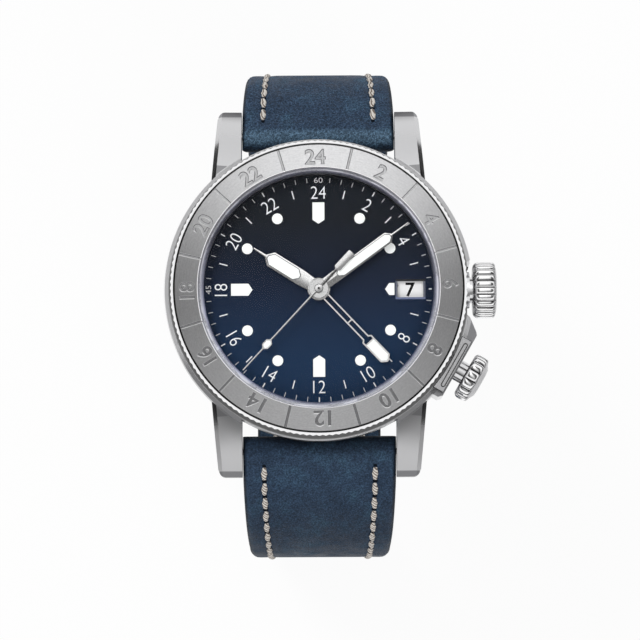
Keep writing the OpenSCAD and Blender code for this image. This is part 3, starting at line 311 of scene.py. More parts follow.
def slab(outline, low, high):  # an outline of (x, y) with a thickness
    return loft([[(x, y, z) for x, y in outline] for z in (low, high)])


def box(x0, x1, y0, y1, z0, z1):
    return slab([(x0, y0), (x1, y0), (x1, y1), (x0, y1)], z0, z1)


def turned(degrees, axis="Z"):
    return Matrix.Rotation(math.radians(degrees), 4, axis)


def moved(x, y, z):
    return Matrix.Translation((x, y, z))


def onClock(angle, radius, height=0, turn=0, tilt=0):  # angle: clockwise from 12 o'clock
    return turned(-angle) @ moved(0, radius, height) @ turned(tilt, "X") @ turned(turn)


figureDeep = 0.07  # half the depth of an engraved figure, before it is scaled


def figure(text, height, squeeze=1, depth=0.02, weight=0, slope=0):
    # A solid number, centred; slope is how far the walls of an engraved one slant
    curve = bpy.data.curves.new("figure", "FONT")
    curve.body = text
    curve.extrude = figureDeep if slope else 0.5
    curve.bevel_depth = slope
    curve.bevel_resolution = 0
    curve.offset = weight - slope
    curve.resolution_u = 5
    holder = linked("figure", curve)
    mesh = evaluated(holder)
    places = [v.co.copy() for v in mesh.vertices]
    low = Vector([min(p[i] for p in places) for i in range(3)])
    high = Vector([max(p[i] for p in places) for i in range(3)])
    size = height / (high.y - low.y)
    middle = (low + high) / 2
    points = [((p.x - middle.x) * size * squeeze, (p.y - middle.y) * size, p.z * depth)
              for p in places]
    faces = [tuple(f.vertices) for f in mesh.polygons]
    bpy.data.objects.remove(holder)
    return points, faces


# Steels

def steel(name, base=grey(0.6), rough=0.3, aniso=0.0):
    return Paint(name, base=base, metal=1, rough=rough, aniso=aniso)


def grained(paint, direction, strength, roughness, fine=14):  # streaks that run along a direction
    x, y, z = paint.parts(paint.place())
    stretch = {"x": (0.5, fine, fine), "y": (fine, 0.5, fine), "z": (fine, fine, 0.5)}[direction]
    way = paint.join(x * stretch[0], y * stretch[1], z * stretch[2])
    streak = paint.noise(way, 1, 4, 0.65)
    paint.set(rough=paint.uneven(streak, roughness - 0.06, roughness + 0.08),
              normal=paint.bump(streak, strength))
    return paint


def worn(paint, low, high):  # uneven polish
    cloud = paint.noise(paint.place(), 0.35, 4)
    fine = paint.noise(paint.place(), 6, 3)
    paint.set(rough=paint.span(cloud * 0.7 + fine * 0.3, 0.35, 0.65, low, high))
    return paint


polished = worn(steel("polished_steel", grey(0.72), 0.1), 0.07, 0.14)
satin = grained(steel("satin_steel", grey(0.6), 0.3, 0.3), "x", 0.12, 0.3)

# Case: brushed on top, polished on the flanks and bevels
caseLook = {"brushed": 0.33, "polished": 0.1, "grain": 0.2, "topFacing": 0.9, "tipAt": 25.4,
            "rimIn": 21.36, "rimOut": 22.05, "rimLow": 7.05, "houseLow": 6.6,
            "gap": (21.4, 21.2), "lugEdge": 10.6, "shade": (24.6, 21.6), "lowLugs": (-8, -12),
            "flanks": (-17, -21)}


def casePaint():
    look = caseLook
    plain = grey(0.62)
    paint = steel("case_steel", plain)
    x, y, z = paint.parts(paint.place())
    top = paint.span(paint.facing()[2], look["topFacing"] - 0.06, look["topFacing"] + 0.02)
    grain = paint.noise(paint.join(x * 14, y * 0.5, z * 4), 1, 4, 0.6)
    out = paint.length(x, y)
    # Painted shade on the lug tips' end facets
    tip = paint.span(abs(y), look["tipAt"], look["tipAt"] + 0.2)
    rim = (out > look["rimIn"]) * (out < look["rimOut"]) * (z > look["rimLow"])
    # Painted shade under the ring's edge
    gap = paint.span(out, *look["gap"]) * (z > look["rimLow"])
    lowLugs = paint.span(y, *look["lowLugs"])
    # Painted shade on the outer rim edges of the lower lugs
    lugRim = rim * lowLugs * (abs(x) > look["lugEdge"])
    # Painted shadow of the ring on the lower lugs
    ringShadow = paint.span(out, *look["shade"]) * lowLugs * (z < look["rimLow"])
    house = (out > look["rimOut"]) * (z > look["houseLow"])
    flank = (1 - top) * paint.span(y, *look["flanks"])
    tint = paint.layers(plain, (tip, grey(0.27)), (ringShadow * 0.55, grey(0.2)),
                        (gap, grey(0.2, 0)), (rim, grey(0.8)), (lugRim * 0.7, grey(0.2)),
                        (house, grey(0.3)))
    paint.set(base=tint, rough=rim * 0.4 + flank * 0.3 + look["polished"]
              + top * (look["brushed"] - look["polished"]),
              normal=paint.bump(grain * top, look["grain"]))
    return paint


coverSolids(casePaint(), "case_middle")
print("case done")

# Turning ring: ribbed edge, sloping face with engraved numbers and bars
ringLook = {"stepsPerRib": 4, "ribs": 144, "outer": 21, "ribDepth": 0.14, "bottom": 7.75,
            "foot": 0.34, "edge": 10.1, "faceOuter": 20.58, "faceInner": 17.05, "inner": 10.5,
            "lip": 9.8, "neck": 18.65, "turn": 1.3, "figureHeight": 2.3, "figureAt": 18.6,
            "cut": 0.1, "markWidth": 0.44, "slope": 0.05, "weight": 0.04, "chamfer": 0.6,
            "groove": 0.26, "brushed": 0.28, "polished": 0.09}
ringGroove = ringLook["faceOuter"] - ringLook["groove"]  # inner edge of the groove round the face
ringSlope = (ringLook["inner"] - ringLook["edge"]) / (ringLook["faceOuter"] - ringLook["faceInner"])


def ringTop(radius):  # height of the sloping face
    return ringLook["inner"] - (radius - ringLook["faceInner"]) * ringSlope


def ringPaint():
    look = ringLook
    paint = steel("ring_steel", grey(0.6), look["brushed"], 0.75)
    x, y, z = paint.parts(paint.place())
    ny = paint.facing()[1]
    radius = paint.length(x, y)
    inner = look["faceInner"]
    sunk = paint.span(ringTop(radius) - z, 0.01, 0.09)
    sunk = sunk * (radius < ringGroove) * (radius > inner + 0.2)
    face = (radius > inner + 0.13) * (radius < ringGroove) * (z > look["edge"] - 0.2)
    # Streaks round the axis: fine across, long along
    angle = paint.node("Math", {"operation": "ARCTAN2"}, {0: y, 1: x})
    streak = paint.noise(paint.join(radius * 11, angle * 14, sunk * 5), 1, 5, 0.7)
    speck = paint.noise(paint.join(radius * 5, angle * 60, 0), 1, 3, 0.6)
    shade = paint.ramp(streak * 0.6 + speck * 0.4, (0.3, grey(0.6)), (0.7, grey(0.86)))
    # Painted shade: the engraved floors are darker towards 6 o'clock, their sloping walls
    # everywhere
    floor = (sunk > 0.93) * paint.span(y, 12, -12, 0.05, 0.6)
    wall = (sunk > 0.02) * (sunk < 0.93)
    # Painted shade in the groove round the face
    line = (radius > ringGroove) * (radius < look["faceOuter"] - 0.005)
    # Brushed tone with the painted shade, and a painted highlight on walls that face 12 o'clock
    brushed = paint.layers(shade, (floor + wall * paint.span(ny, 0.4, 0, 0.3, 0.95), grey(0.13)),
                           (wall * paint.span(ny, 0.2, 0.5, 0, 0.7), grey(0.95, 0)),
                           (line * 0.95, grey(0.02, 0)))
    face = face + line
    paint.set(base=paint.mix(face, grey(0.9), brushed),
              rough=look["polished"] + face * (look["brushed"] - look["polished"]) + sunk * 0.1,
              normal=paint.bump(streak * face, 0.25))
    return paint


def ringBar(half):  # cutter of one bar between two numbers
    look = ringLook
    wide = look["markWidth"] / 2
    low, high = 0.02 - half, half - look["groove"] - 0.02
    return loft([[(-w, low, z), (w, low, z), (w, high, z), (-w, high, z)]
                 for w, z in ((wide - 0.15, -look["cut"]), (wide + 0.01, 0.01),
                              (wide + 0.01, 0.4))])


def makeRing():
    look = ringLook
    outer, inner, neck = look["faceOuter"], look["faceInner"], look["neck"]
    bottom, edge, top = look["bottom"], look["edge"], look["inner"]
    rings = []
    for i, angle in enumerate(around(look["stepsPerRib"] * look["ribs"])):
        wave = (1 - math.cos(2 * math.pi * i / look["stepsPerRib"])) / 2
        rib = look["outer"] - look["ribDepth"] * wave
        profile = [(neck, bottom), (look["outer"] - look["foot"], bottom),
                   (rib - 0.06, bottom + 0.2), (rib, bottom + 0.3),
                   (rib, edge - (rib - outer) * look["chamfer"]), (outer, edge),
                   (outer - 0.06, edge - 0.1), (ringGroove + 0.06, edge - 0.08),
                   (ringGroove, edge + 0.03), (inner + 0.14, top - 0.016),
                   (inner + 0.03, top - 0.1), (inner, top - 0.2), (inner, look["lip"]),
                   (neck, look["lip"])]
        rings.append([(r * math.cos(angle), r * math.sin(angle), z) for r, z in profile])
    made = Heap().add(loft(rings, closedWay=True)).build("turning_ring_body")
    tilt = -math.degrees(math.atan(ringSlope))
    scale = look["cut"] / look["slope"]
    middle, half = (inner + outer) / 2, (outer - inner) / 2
    tools = Heap()
    for hour in range(2, 25, 2):
        shape = figure(str(hour), look["figureHeight"], 1, scale, look["weight"], look["slope"])
        height = ringTop(look["figureAt"]) + figureDeep * scale
        angle = hour * 15 - look["turn"]
        tools.add(shape, onClock(angle, look["figureAt"], height, 0, tilt))
        tools.add(ringBar(half), onClock(angle + 15, middle, ringTop(middle), 0, tilt))
    cut(made, tools, True)
    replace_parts(dress(made, ringPaint(), "ring", 22), "turning_ring")


makeRing()
print("ring done")

# Dial: gradient paint, printed scale and numbers
dialLook = {"top": 7.3, "upper": tone(25, 29, 36), "middle": tone(25, 36, 57),
            "lower": tone(24, 48, 78), "fade": 17, "print": 0.015, "figureHeight": 1.8,
            "figureAt": 13.88, "squeeze": 0.88, "tickIn": 15.35, "tickOut": 16.02,
            "shortTickIn": 15.6, "tickWide": 0.08, "tickFine": 0.033, "barIn": 13.4,
            "barOut": 14.6, "barWide": 0.075, "smallHeight": 0.76, "smallSqueeze": 1.2,
            "smallAt": 15.66}


def dialPaint():
    look = dialLook
    paint = Paint("dial_blue", rough=0.7, specular=0.12)
    y = paint.parts(paint.place())[1]
    sweep = paint.span(y, look["fade"], -look["fade"]) + paint.noise(paint.place(), 9, 3) * 0.03
    paint.set(base=paint.ramp(sweep, (0.12, look["upper"]), (0.5, look["middle"]),
                              (0.9, look["lower"])),
              normal=paint.bump(paint.noise(paint.place(), 30, 3), 0.05))
    return paint


def printPaint():
    # The glow is painted light that brightens the print
    paint = Paint("print_white", rough=0.6, specular=0.2, glow=0.12, glowColor=(1, 1, 1, 1))
    mottle = paint.noise(paint.place(), 20, 3)
    paint.set(base=paint.mix(mottle, (0.74, 0.76, 0.8, 1), (0.9, 0.91, 0.93, 1)))
    return paint


def makePrint():
    look = dialLook
    heap = Heap()
    top, thick = look["top"], look["print"]
    for hour in range(2, 25, 2):
        if hour == 6:  # the date window's place
            continue
        inward = 8 <= hour <= 16
        shape = figure(str(hour), look["figureHeight"], look["squeeze"], thick * 2, -0.01)
        heap.add(shape, onClock(hour * 15, look["figureAt"], top, 180 if inward else 0))
    for minute in range(60):
        if minute in (0, 45):  # these have small numbers
            continue
        wide = look["tickWide"] if minute % 5 == 0 else look["tickFine"]
        low = look["shortTickIn"] if minute == 15 else look["tickIn"]
        heap.add(box(-wide, wide, low, look["tickOut"], top - 0.01, top + thick),
                 turned(-6 * minute))
    for i in range(12):
        shape = box(-look["barWide"], look["barWide"], look["barIn"], look["barOut"],
                    top - 0.01, top + thick)
        heap.add(shape, turned(-15 - 30 * i))
    for text, angle in (("60", 0), ("45", 270)):
        shape = figure(text, look["smallHeight"], look["smallSqueeze"], thick * 2, -0.008)
        heap.add(shape, onClock(angle, look["smallAt"], top))
    heap.build("dial_print", printPaint(), "root", "date_white")


coverSolids(dialPaint(), "dial")
makePrint()

windowLook = {"at": 13.0, "length": 3.65, "width": 2.3, "rim": 0.3, "top": 7.33, "deep": 6.92}


def windowPaint(half):  # painted shade on the upper border, a painted lavender reflection on the lower one, grey at the sides
    paint = Paint("window_frame", rough=0.35, specular=0.4)
    y = paint.parts(paint.place())[1]
    border = paint.mix(y > half - 0.02, tone(105, 110, 125), tone(3, 4, 6))
    mottle = paint.noise(paint.place(), 12)
    paint.set(base=paint.layers(border, (y < 0.02 - half, tone(112, 124, 160)),
                                (mottle * 0.2, tone(40, 46, 60))))
    return paint


def makeWindow():
    look = windowLook
    halfL, halfW, rim = look["length"] / 2, look["width"] / 2, look["rim"]
    corners = ((-1, -1), (1, -1), (1, 1), (-1, 1))
    rings = [[(look["at"] + (halfL + grow) * i, (halfW + grow) * j, height) for i, j in corners]
             for grow, height in ((rim, look["top"] - 0.03), (rim - 0.03, look["top"]),
                                  (0.03, look["top"]), (0, look["deep"]), (0.05, look["deep"]),
                                  (rim, look["top"] - 0.1))]
    Heap().add(loft(rings, closedWay=True)).build("window_frame", windowPaint(halfW), "root",
                                                  "dial_blue", 20)


makeWindow()

dateLook = {"shown": 7, "days": 31, "height": 2.02, "narrow": 0.8, "at": 13.0, "top": 6.6}


def datePaint():
    # The glow is painted light that brightens the date ring
    paint = Paint("date_white", rough=0.55, specular=0.3, glow=0.14, glowColor=(1, 1, 1, 1))
    speck = paint.noise(paint.place(), 10, 4)
    paint.set(base=paint.mix(speck, grey(0.84, 0), grey(0.93, 0)))
    return paint


inkPaint = Paint("print_black", rough=0.5, specular=0.2)
inkPaint.set(base=inkPaint.mix(inkPaint.noise(inkPaint.place(), 15), tone(8, 8, 9),
                               tone(20, 20, 22)))


def makeDates():
    look = dateLook
    heap = Heap()
    for day in range(1, look["days"] + 1):
        angle = 90 + (day - look["shown"]) * 360 / look["days"]
        shape = figure(str(day), look["height"], 1 if day < 10 else look["narrow"], 0.02, 0.02)
        heap.add(shape, onClock(angle, look["at"], look["top"], 90))
    heap.build("date_figures", inkPaint, "date", "date_white")


coverSolids(datePaint(), "date_ring")
makeDates()

# Luminous fills with a painted glow that brightens them, and the dark ring round the dial
lumePaint = Paint("lume_white", rough=0.6, specular=0.3, glow=0.2, glowColor=(0.95, 1, 0.98, 1))
lumePaint.set(base=lumePaint.mix(lumePaint.noise(lumePaint.place(), 3, 4), (0.86, 0.88, 0.86, 1),
                                 (0.95, 0.96, 0.95, 1)),
              normal=lumePaint.bump(lumePaint.noise(lumePaint.place(), 25, 2), 0.08))


def flangePaint():
    paint = Paint("flange_dark", rough=0.45, specular=0.3)
    y = paint.parts(paint.place())[1]
    # Painted shade: darker towards 12 o'clock
    fade = paint.span(y, dialLook["fade"], -dialLook["fade"])
    paint.set(base=paint.mix(fade, tone(10, 12, 17), tone(24, 36, 58)),
              normal=paint.bump(paint.noise(paint.place(), 20, 3), 0.05))
    return paint


def crystalPaint():
    paint = Paint("crystal_clear", base=(0.93, 0.95, 1, 1), metal=1, rough=0.03)
    glance = paint.node("Fresnel", {}, {"IOR": 1.5})
    paint.set(alpha=glance * 0.06, rough=paint.uneven(paint.noise(paint.place(), 0.3), 0.02, 0.05))
    paint.material.surface_render_method = "BLENDED"
    return paint


gasketLook = {"inner": 16.15, "wide": 0.9, "turnover": (8, -10),
              "upper": ((0.0, tone(30, 32, 40)), (0.4, tone(52, 54, 68)),
                        (0.6, tone(110, 111, 132)), (0.8, tone(240, 240, 250)),
                        (0.97, tone(150, 150, 158))),
              "lower": ((0.0, tone(60, 66, 90)), (0.3, tone(135, 140, 168)),
                        (0.5, tone(215, 218, 236)), (0.8, tone(245, 246, 252)),
                        (0.95, tone(190, 192, 205)))}


def gasketPaint():  # painted reflection: bands of light and shade across the gasket, brighter inside at its lower half
    look = gasketLook
    paint = Paint("gasket_clear", rough=0.2, specular=0.5)
    x, y = paint.parts(paint.place())[:2]
    veil = paint.noise(paint.place(), 1.2)
    band = (paint.length(x, y) + veil * 0.1 - look["inner"]) / look["wide"]
    paint.set(base=paint.mix(paint.span(y, *look["turnover"]), paint.ramp(band, *look["upper"]),
                             paint.ramp(band, *look["lower"])))
    return paint


coverSolids(lumePaint, "dial_markers", "gmt_hand_lume")
coverSolids(flangePaint(), "flange_ring")
coverSolids(crystalPaint(), "crystal")
coverSolids(gasketPaint(), "crystal_gasket")
print("dial done")

# Hands: blades with two facets shaded by paint, a pool of luminous fill and a thin dark well round
# it as painted shade
handPaint = steel("hand_steel", grey(0.74, 0), 0.24)
handFacing = handPaint.facing()
# Painted shade on the facets turned towards 6 and 3 o'clock, a lit copy on the others
handFacetShade = handPaint.span(handFacing[1] - handFacing[0] * 0.5, 0.025, -0.045)
handPaint.set(base=handPaint.mix(handFacetShade, grey(0.8, 0), grey(0.3, 0)),
              rough=handPaint.uneven(handPaint.noise(handPaint.place() * 5, 1, 4), 0.2, 0.3),
              normal=handPaint.bump(handPaint.noise(handPaint.place(), 22, 3), 0.05))
# A dark steel round the fill stands in for the shade in its well
wellShadePaint = steel("fill_edge_shade", grey(0.2), 0.4)
wellShadePaint.set(rough=wellShadePaint.uneven(wellShadePaint.noise(wellShadePaint.place(), 9), 0.35, 0.5))


def blade(stations, low, edge, ridge):  # stations of (distance, half width), facets up to a ridge
    rings = []
    for along, half in stations:
        crown = edge + (ridge - edge) * min(1, half / stations[0][1] * 1.2)
        rings.append([(-half, along, low), (half, along, low), (half, along, low + edge),
                      (0, along, low + crown), (-half, along, low + edge)])
    return loft(rings)


def disc(radius, low, high, rounding=0.04, bore=0):
    profile = [(radius, low), (radius, high - rounding), (radius - rounding, high)]
    if bore:
        return revolve([(bore, low)] + profile + [(bore, high)], 64)
    return revolve(profile + [(0.001, high)], 64, False)


def pillow(outline, low, high, inset=0.06):  # a slab whose top edge is softened
    cx = sum(p[0] for p in outline) / len(outline)
    cy = sum(p[1] for p in outline) / len(outline)
    rings = []
    for shrink, height in ((0, low), (0, high - inset), (inset, high)):
        ring = []
        for x, y in outline:
            far = math.hypot(x - cx, y - cy)
            ring.append((x - (x - cx) / far * shrink, y - (y - cy) / far * shrink, height))
        rings.append(ring)
    return loft(rings)


def mirrored(sides):  # an outline from half widths and distances
    return [(w, d) for w, d in sides] + [(-w, d) for w, d in reversed(sides)]


def grown(sides, edge):  # half widths and distances of an outline, moved outwards
    ends = {sides[0][1]: -edge, sides[-1][1]: edge}
    return [(w + edge, d + ends.get(d, 0)) for w, d in sides]


hourLook = {"angle": 302.3, "low": 8.09, "edge": 0.07, "ridge": 0.17, "fillTop": 0.215,
            "blade": [(0.5, 0.95), (1.4, 0.95), (3.0, 1.1), (8.0, 1.1), (8.9, 0.16), (10.9, 0.1)],
            "fill": [(0.2, 3.2), (0.84, 3.85), (0.84, 7.85), (0.2, 8.5)],
            "hub": 1.55, "bore": 0.79, "hubTop": 0.17, "well": 0.08}
minuteLook = {"angle": 53.8, "low": 8.43, "edge": 0.07, "ridge": 0.16, "fillTop": 0.205,
              "blade": [(0.5, 0.85), (1.4, 0.8), (3.4, 0.85), (12.2, 0.85), (12.95, 0.13),
                        (15.8, 0.09)],
              "fill": [(0.2, 3.35), (0.62, 4.05), (0.62, 12.05), (0.2, 12.6)],
              "hub": 1.4, "bore": 0.46, "hubTop": 0.18, "well": 0.08}
pipeLook = {"bore": 0.48, "outer": 0.78, "low": 6.2, "top": 8.2, "teeth": 64, "root": 3.08,
            "tip": 3.285, "wheelLow": 6.21, "wheelTop": 6.33}


def makeHand(name, look, body, bladeNode, fillNode):
    turn = turned(-look["angle"])
    low, outline = look["low"], look["fill"]
    heap = Heap().add(blade(look["blade"], low, look["edge"], look["ridge"]), turn)
    heap.add(disc(look["hub"], low + 0.01, low + look["hubTop"], 0.05, look["bore"]))
    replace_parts(heap.build(name, handPaint, body, "hand_steel", 12), bladeNode)
    well = slab(mirrored(grown(outline, look["well"])), low + 0.05, low + look["ridge"] + 0.012)
    Heap().add(well, turn).build(name + "_well", wellShadePaint, body, "hand_steel")
    fill = Heap().add(pillow(mirrored(outline), low + 0.06, low + look["fillTop"]), turn)
    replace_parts(fill.build(name + "_fill", lumePaint, body, "lume_white"), fillNode)


def makePipe():  # the hour hand's tube and wheel under the dial
    look = pipeLook
    root, tip = look["root"], look["tip"]
    tube = [(look["bore"], look["low"]), (look["outer"], look["low"]),
            (look["outer"], look["top"]), (look["bore"], look["top"])]
    gear = []
    for i in range(look["teeth"]):
        for share, radius in ((-0.28, root), (-0.13, tip), (0.13, tip), (0.28, root)):
            a = 2 * math.pi * (i + share) / look["teeth"]
            gear.append((radius * math.cos(a), radius * math.sin(a)))
    heap = Heap().add(revolve(tube, 48)).add(slab(gear, look["wheelLow"], look["wheelTop"]))
    heap.build("hour_pipe", handPaint, "hour", "hand_steel", 25)


makeHand("minute_blade", minuteLook, "minute", "minute_hand", "minute_hand_lume")
makeHand("hour_blade", hourLook, "hour", "hour_hand", "hour_hand_lume")
makePipe()

secondLook = {"angle": 222.8, "low": 8.77, "edge": 0.05, "ridge": 0.11, "cap": 0.63,
              "capTop": 9.03, "dot": 0.14,
              "needle": [(0.3, 0.15), (10.0, 0.12), (15.8, 0.1)],
              "lozenge": [(0.16, 9.95), (0.56, 10.35), (0.56, 11.25), (0.16, 11.65)],
              "fill": [(0.1, 10.2), (0.36, 10.46), (0.36, 11.14), (0.1, 11.4)],
              "stem": [(0.3, 0.2), (3.7, 0.16)],
              "weight": [(3.65, 0.17), (3.9, 0.52), (6.85, 0.52), (6.95, 0.46)]}


def makeSeconds():
    look = secondLook
    turn, back = turned(-look["angle"]), turned(180 - look["angle"])
    low, edge, ridge = look["low"], look["edge"], look["ridge"]
    cap, top, dot = look["cap"], look["capTop"], look["dot"]
    heap = Heap().add(blade(look["needle"], low, edge, ridge), turn)
    heap.add(pillow(mirrored(look["lozenge"]), low, low + 0.12, 0.05), turn)
    heap.add(blade(look["stem"], low, edge, ridge), back)
    heap.add(blade(look["weight"], low, edge + 0.03, ridge), back)
    heap.add(revolve([(cap, low), (cap, top - 0.1), (cap - 0.1, top), (dot + 0.03, top + 0.01),
                      (dot, top - 0.08), (0.001, top - 0.08)], 64, False))
    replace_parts(heap.build("seconds_needle", handPaint, "seconds", "hand_steel", 12),
                "seconds_hand")
    fill = pillow(mirrored(look["fill"]), low + 0.1, low + 0.15, 0.03)
    Heap().add(fill, turn).build("seconds_fill", lumePaint, "seconds", "lume_white")
    Heap().add(disc(dot, top - 0.085, top - 0.06, 0.01)).build("seconds_dot", inkPaint, "seconds",
                                                              "hand_steel")


makeSeconds()
coverSolids(handPaint, "gmt_hand")
print("hands done")

# Crowns: fluted knobs along +X, then turned to their place
crownHeight = 5.2
lockTurn = -30


def knobPaint(name, turn, look):  # bright lands, painted shade in the flutes and on the rougher ends
    paint = steel(name, rough=0.13)
    x, y, z = paint.parts(paint.place())
    c, s = math.cos(math.radians(turn)), math.sin(math.radians(turn))
    along = x * c + y * s
    away = paint.length(y * c - x * s, z - crownHeight)
    low, high, reach = look["grip"]
    depth = look["fluteDepth"]
    deep = paint.span(away, reach - depth * 0.75, reach - depth * 0.2, 1, 0)
    deep = deep * (along > low) * (along < high)
    polish = paint.noise(paint.place(), 0.9, 4)
    ends = paint.span(along, high - 0.12, high + 0.05) + paint.span(along, low + 0.05, low - 0.15)
    # Painted shade in the flutes and on both ends
    tint = paint.layers(paint.mix(polish, grey(0.92), grey(0.99, 0)), (deep, grey(0.16)),
                        (ends * 0.8, grey(0.33)))
    paint.set(base=tint, rough=paint.uneven(polish, 0.1, 0.2) + ends * 0.12)
    return paint


def knob(look):  # profile: place along the axis, radius, share of the flutes' depth
    steps = look["stepsPerFlute"]
    rings = []
    for place, radius, share in look["profile"]:
        ring = []
        for i, angle in enumerate(around(look["flutes"] * steps)):
            wave = abs(math.sin(math.pi * i / steps))
            r = radius - (1 - wave ** look["fullness"]) * look["fluteDepth"] * share
            ring.append((place, r * math.cos(angle), r * math.sin(angle)))
        rings.append(ring)
    return loft(rings)


crownLook = {"flutes": 24, "stepsPerFlute": 14, "fluteDepth": 0.34, "fullness": 0.42,
             "grip": (22.4, 24.75, 4.05),
             "profile": [(23.9, 0.02, 0), (23.9, 2.24, 0), (21.95, 2.26, 0), (21.9, 2.4, 0),
                         (21.9, 3.35, 0), (22.0, 3.6, 0), (22.2, 3.82, 0.35), (22.38, 3.95, 0.8),
                         (22.6, 4.03, 1), (23.0, 4.05, 1), (24.3, 4.05, 1), (24.6, 4.02, 1),
                         (24.8, 3.93, 0.8), (24.93, 3.82, 0.35), (25.02, 3.72, 0),
                         (25.06, 3.6, 0), (25.2, 3.0, 0), (25.27, 1.5, 0), (25.3, 0.02, 0)]}
lockLook = {"flutes": 14, "stepsPerFlute": 16, "fluteDepth": 0.38, "fullness": 0.42,
            "grip": (24.3, 25.75, 3.5), "screw": [(0.9, 21.95), (0.9, 25.7)],
            "profile": [(25.6, 0.02, 0), (25.6, 1.84, 0), (23.95, 1.86, 0), (23.9, 2.0, 0),
                        (23.9, 2.95, 0), (23.98, 3.1, 0), (24.12, 3.3, 0.3), (24.3, 3.42, 0.8),
                        (24.5, 3.49, 1), (24.8, 3.5, 1), (25.4, 3.5, 1), (25.62, 3.45, 1),
                        (25.8, 3.35, 0.8), (25.92, 3.22, 0.3), (26.0, 3.05, 0), (26.06, 2.9, 0),
                        (26.2, 2.55, 0), (26.5, 2.0, 0), (26.58, 1.2, 0), (26.6, 0.02, 0)]}


def makeCrowns():
    place = moved(0, 0, crownHeight)
    made = Heap().add(knob(crownLook), place).build(
        "crown_knob", knobPaint("crown_steel", 0, crownLook), "crown", "steel_polished", 30)
    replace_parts(made, "crown")
    heap = Heap().add(knob(lockLook), turned(lockTurn) @ place)
    heap.add(revolve(lockLook["screw"], 48, False), turned(lockTurn) @ place @ turned(90, "Y"))
    made = heap.build("lock_knob", knobPaint("lock_steel", lockTurn, lockLook), "lock_screw",
                      "steel_polished", 30)
    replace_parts(made, "lock_crown")


makeCrowns()

# Brake shoe with a long rounded groove beside the ring
shoeLook = {"ringSide": 21.3, "out": 22.55, "low": 7.73, "top": 8.73, "half": 4.15,
            "bevel": 0.1, "grooveHalf": 3.55, "grooveIn": 21.66, "grooveOut": 22.36,
            "grooveWide": 0.17, "grooveDeep": 0.09, "tab": (21.35, 21.9, -1.5, 1.5, 4.0, 7.8)}


def shoePaint():
    look = shoeLook
    paint = steel("shoe_steel", grey(0.6), 0.28)
    x, y, z = paint.parts(paint.place())
    c, s = math.cos(math.radians(lockTurn)), math.sin(math.radians(lockTurn))
    streak = paint.noise(paint.join(x * 6, y * 6, z * 3), 1, 4)
    # Painted shade in the groove
    deep = paint.span(z, look["top"] - 0.03, look["top"] - 0.07)
    deep = deep * (x * c + y * s < look["out"] - 0.12)
    paint.set(base=paint.mix(deep, grey(0.5), grey(0.1, 0)),
              rough=paint.uneven(streak, 0.22, 0.34), normal=paint.bump(streak, 0.06))
    return paint


def stadium(x0, x1, half):  # a long outline with round ends
    middle, radius = (x0 + x1) / 2, (x1 - x0) / 2
    outline = []
    for start, centre in ((0, half - radius), (math.pi, radius - half)):
        for i in range(25):
            a = start + math.pi * i / 24
            outline.append((middle + radius * math.cos(a), centre + radius * math.sin(a)))
    return outline


def makeShoe():
    look = shoeLook
    low, top, bevel, half = look["low"], look["top"], look["bevel"], look["half"]
    rings = []
    for inset, height in ((0.03, low), (0, low + 0.03), (0, top - bevel), (bevel, top)):
        ring = []
        for i in range(33):
            y = (half - inset) * (2 * i / 32 - 1)
            ring.append((math.sqrt(look["ringSide"] ** 2 - y * y) + inset, y, height))
        ring += [(look["out"] - inset, half - inset, height),
                 (look["out"] - inset, inset - half, height)]
        rings.append(ring)
    made = Heap().add(loft(rings)).build("brake_shoe")
    wide, floor = look["grooveWide"], top - look["grooveDeep"]
    outer = stadium(look["grooveIn"], look["grooveOut"], look["grooveHalf"])
    inner = stadium(look["grooveIn"] + wide, look["grooveOut"] - wide, look["grooveHalf"] - wide)
    groove = [[(*a, floor), (*a, top + 0.5), (*b, top + 0.5), (*b, floor)]
              for a, b in zip(outer, inner)]
    cut(made, Heap().add(loft(groove, closedWay=True)))
    tab = Heap().add(box(*look["tab"])).build("brake_tab")
    settle(tab, "BEVEL", width=0.05 * mm, segments=2)
    combine(made, tab, "UNION")
    made.data.transform(turned(lockTurn))
    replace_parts(dress(made, shoePaint(), "lock_carriage", 25), "lock_shoe")


makeShoe()
print("crowns done")

# Strap: two leather halves along bent centre lines. A half's way: start angle, bend, leg
strapLook = {"bar": (22.7, 2.4), "tail": (20, 19.6, 40), "buckle": (24, 17, 42.899), "lean": 98,
             "foot": 10, "width": 21.8, "waist": 20.6, "end": 20, "waistFrom": 0.5,
             "waistTo": -12, "endTo": -56, "thick": 1.3, "pad": 0.5, "roll": 2.2, "round": 1.1,
             "stitchIn": 3.0, "groove": 0.16, "grooveWide": 0.42, "crown": 0.28, "step": 1.1,
             "tip": 10, "endRound": 1.4, "tailLength": 105.076, "buckleLength": 74.991,
             "rows": [0, 0.06, 0.22, 0.5, 0.85, 1.3, 1.9, 2.4, 2.7, 3.0, 3.3, 3.6, 4.2, 5.4, 7.2],
             "holes": 7, "holeFrom": 25, "holePitch": 6.5, "holeRadius": 0.9,
             "slot": (-1.7, 1.7, -7.6, 5, -3, 3)}


def clamped(share):
    return min(1, max(0, share))


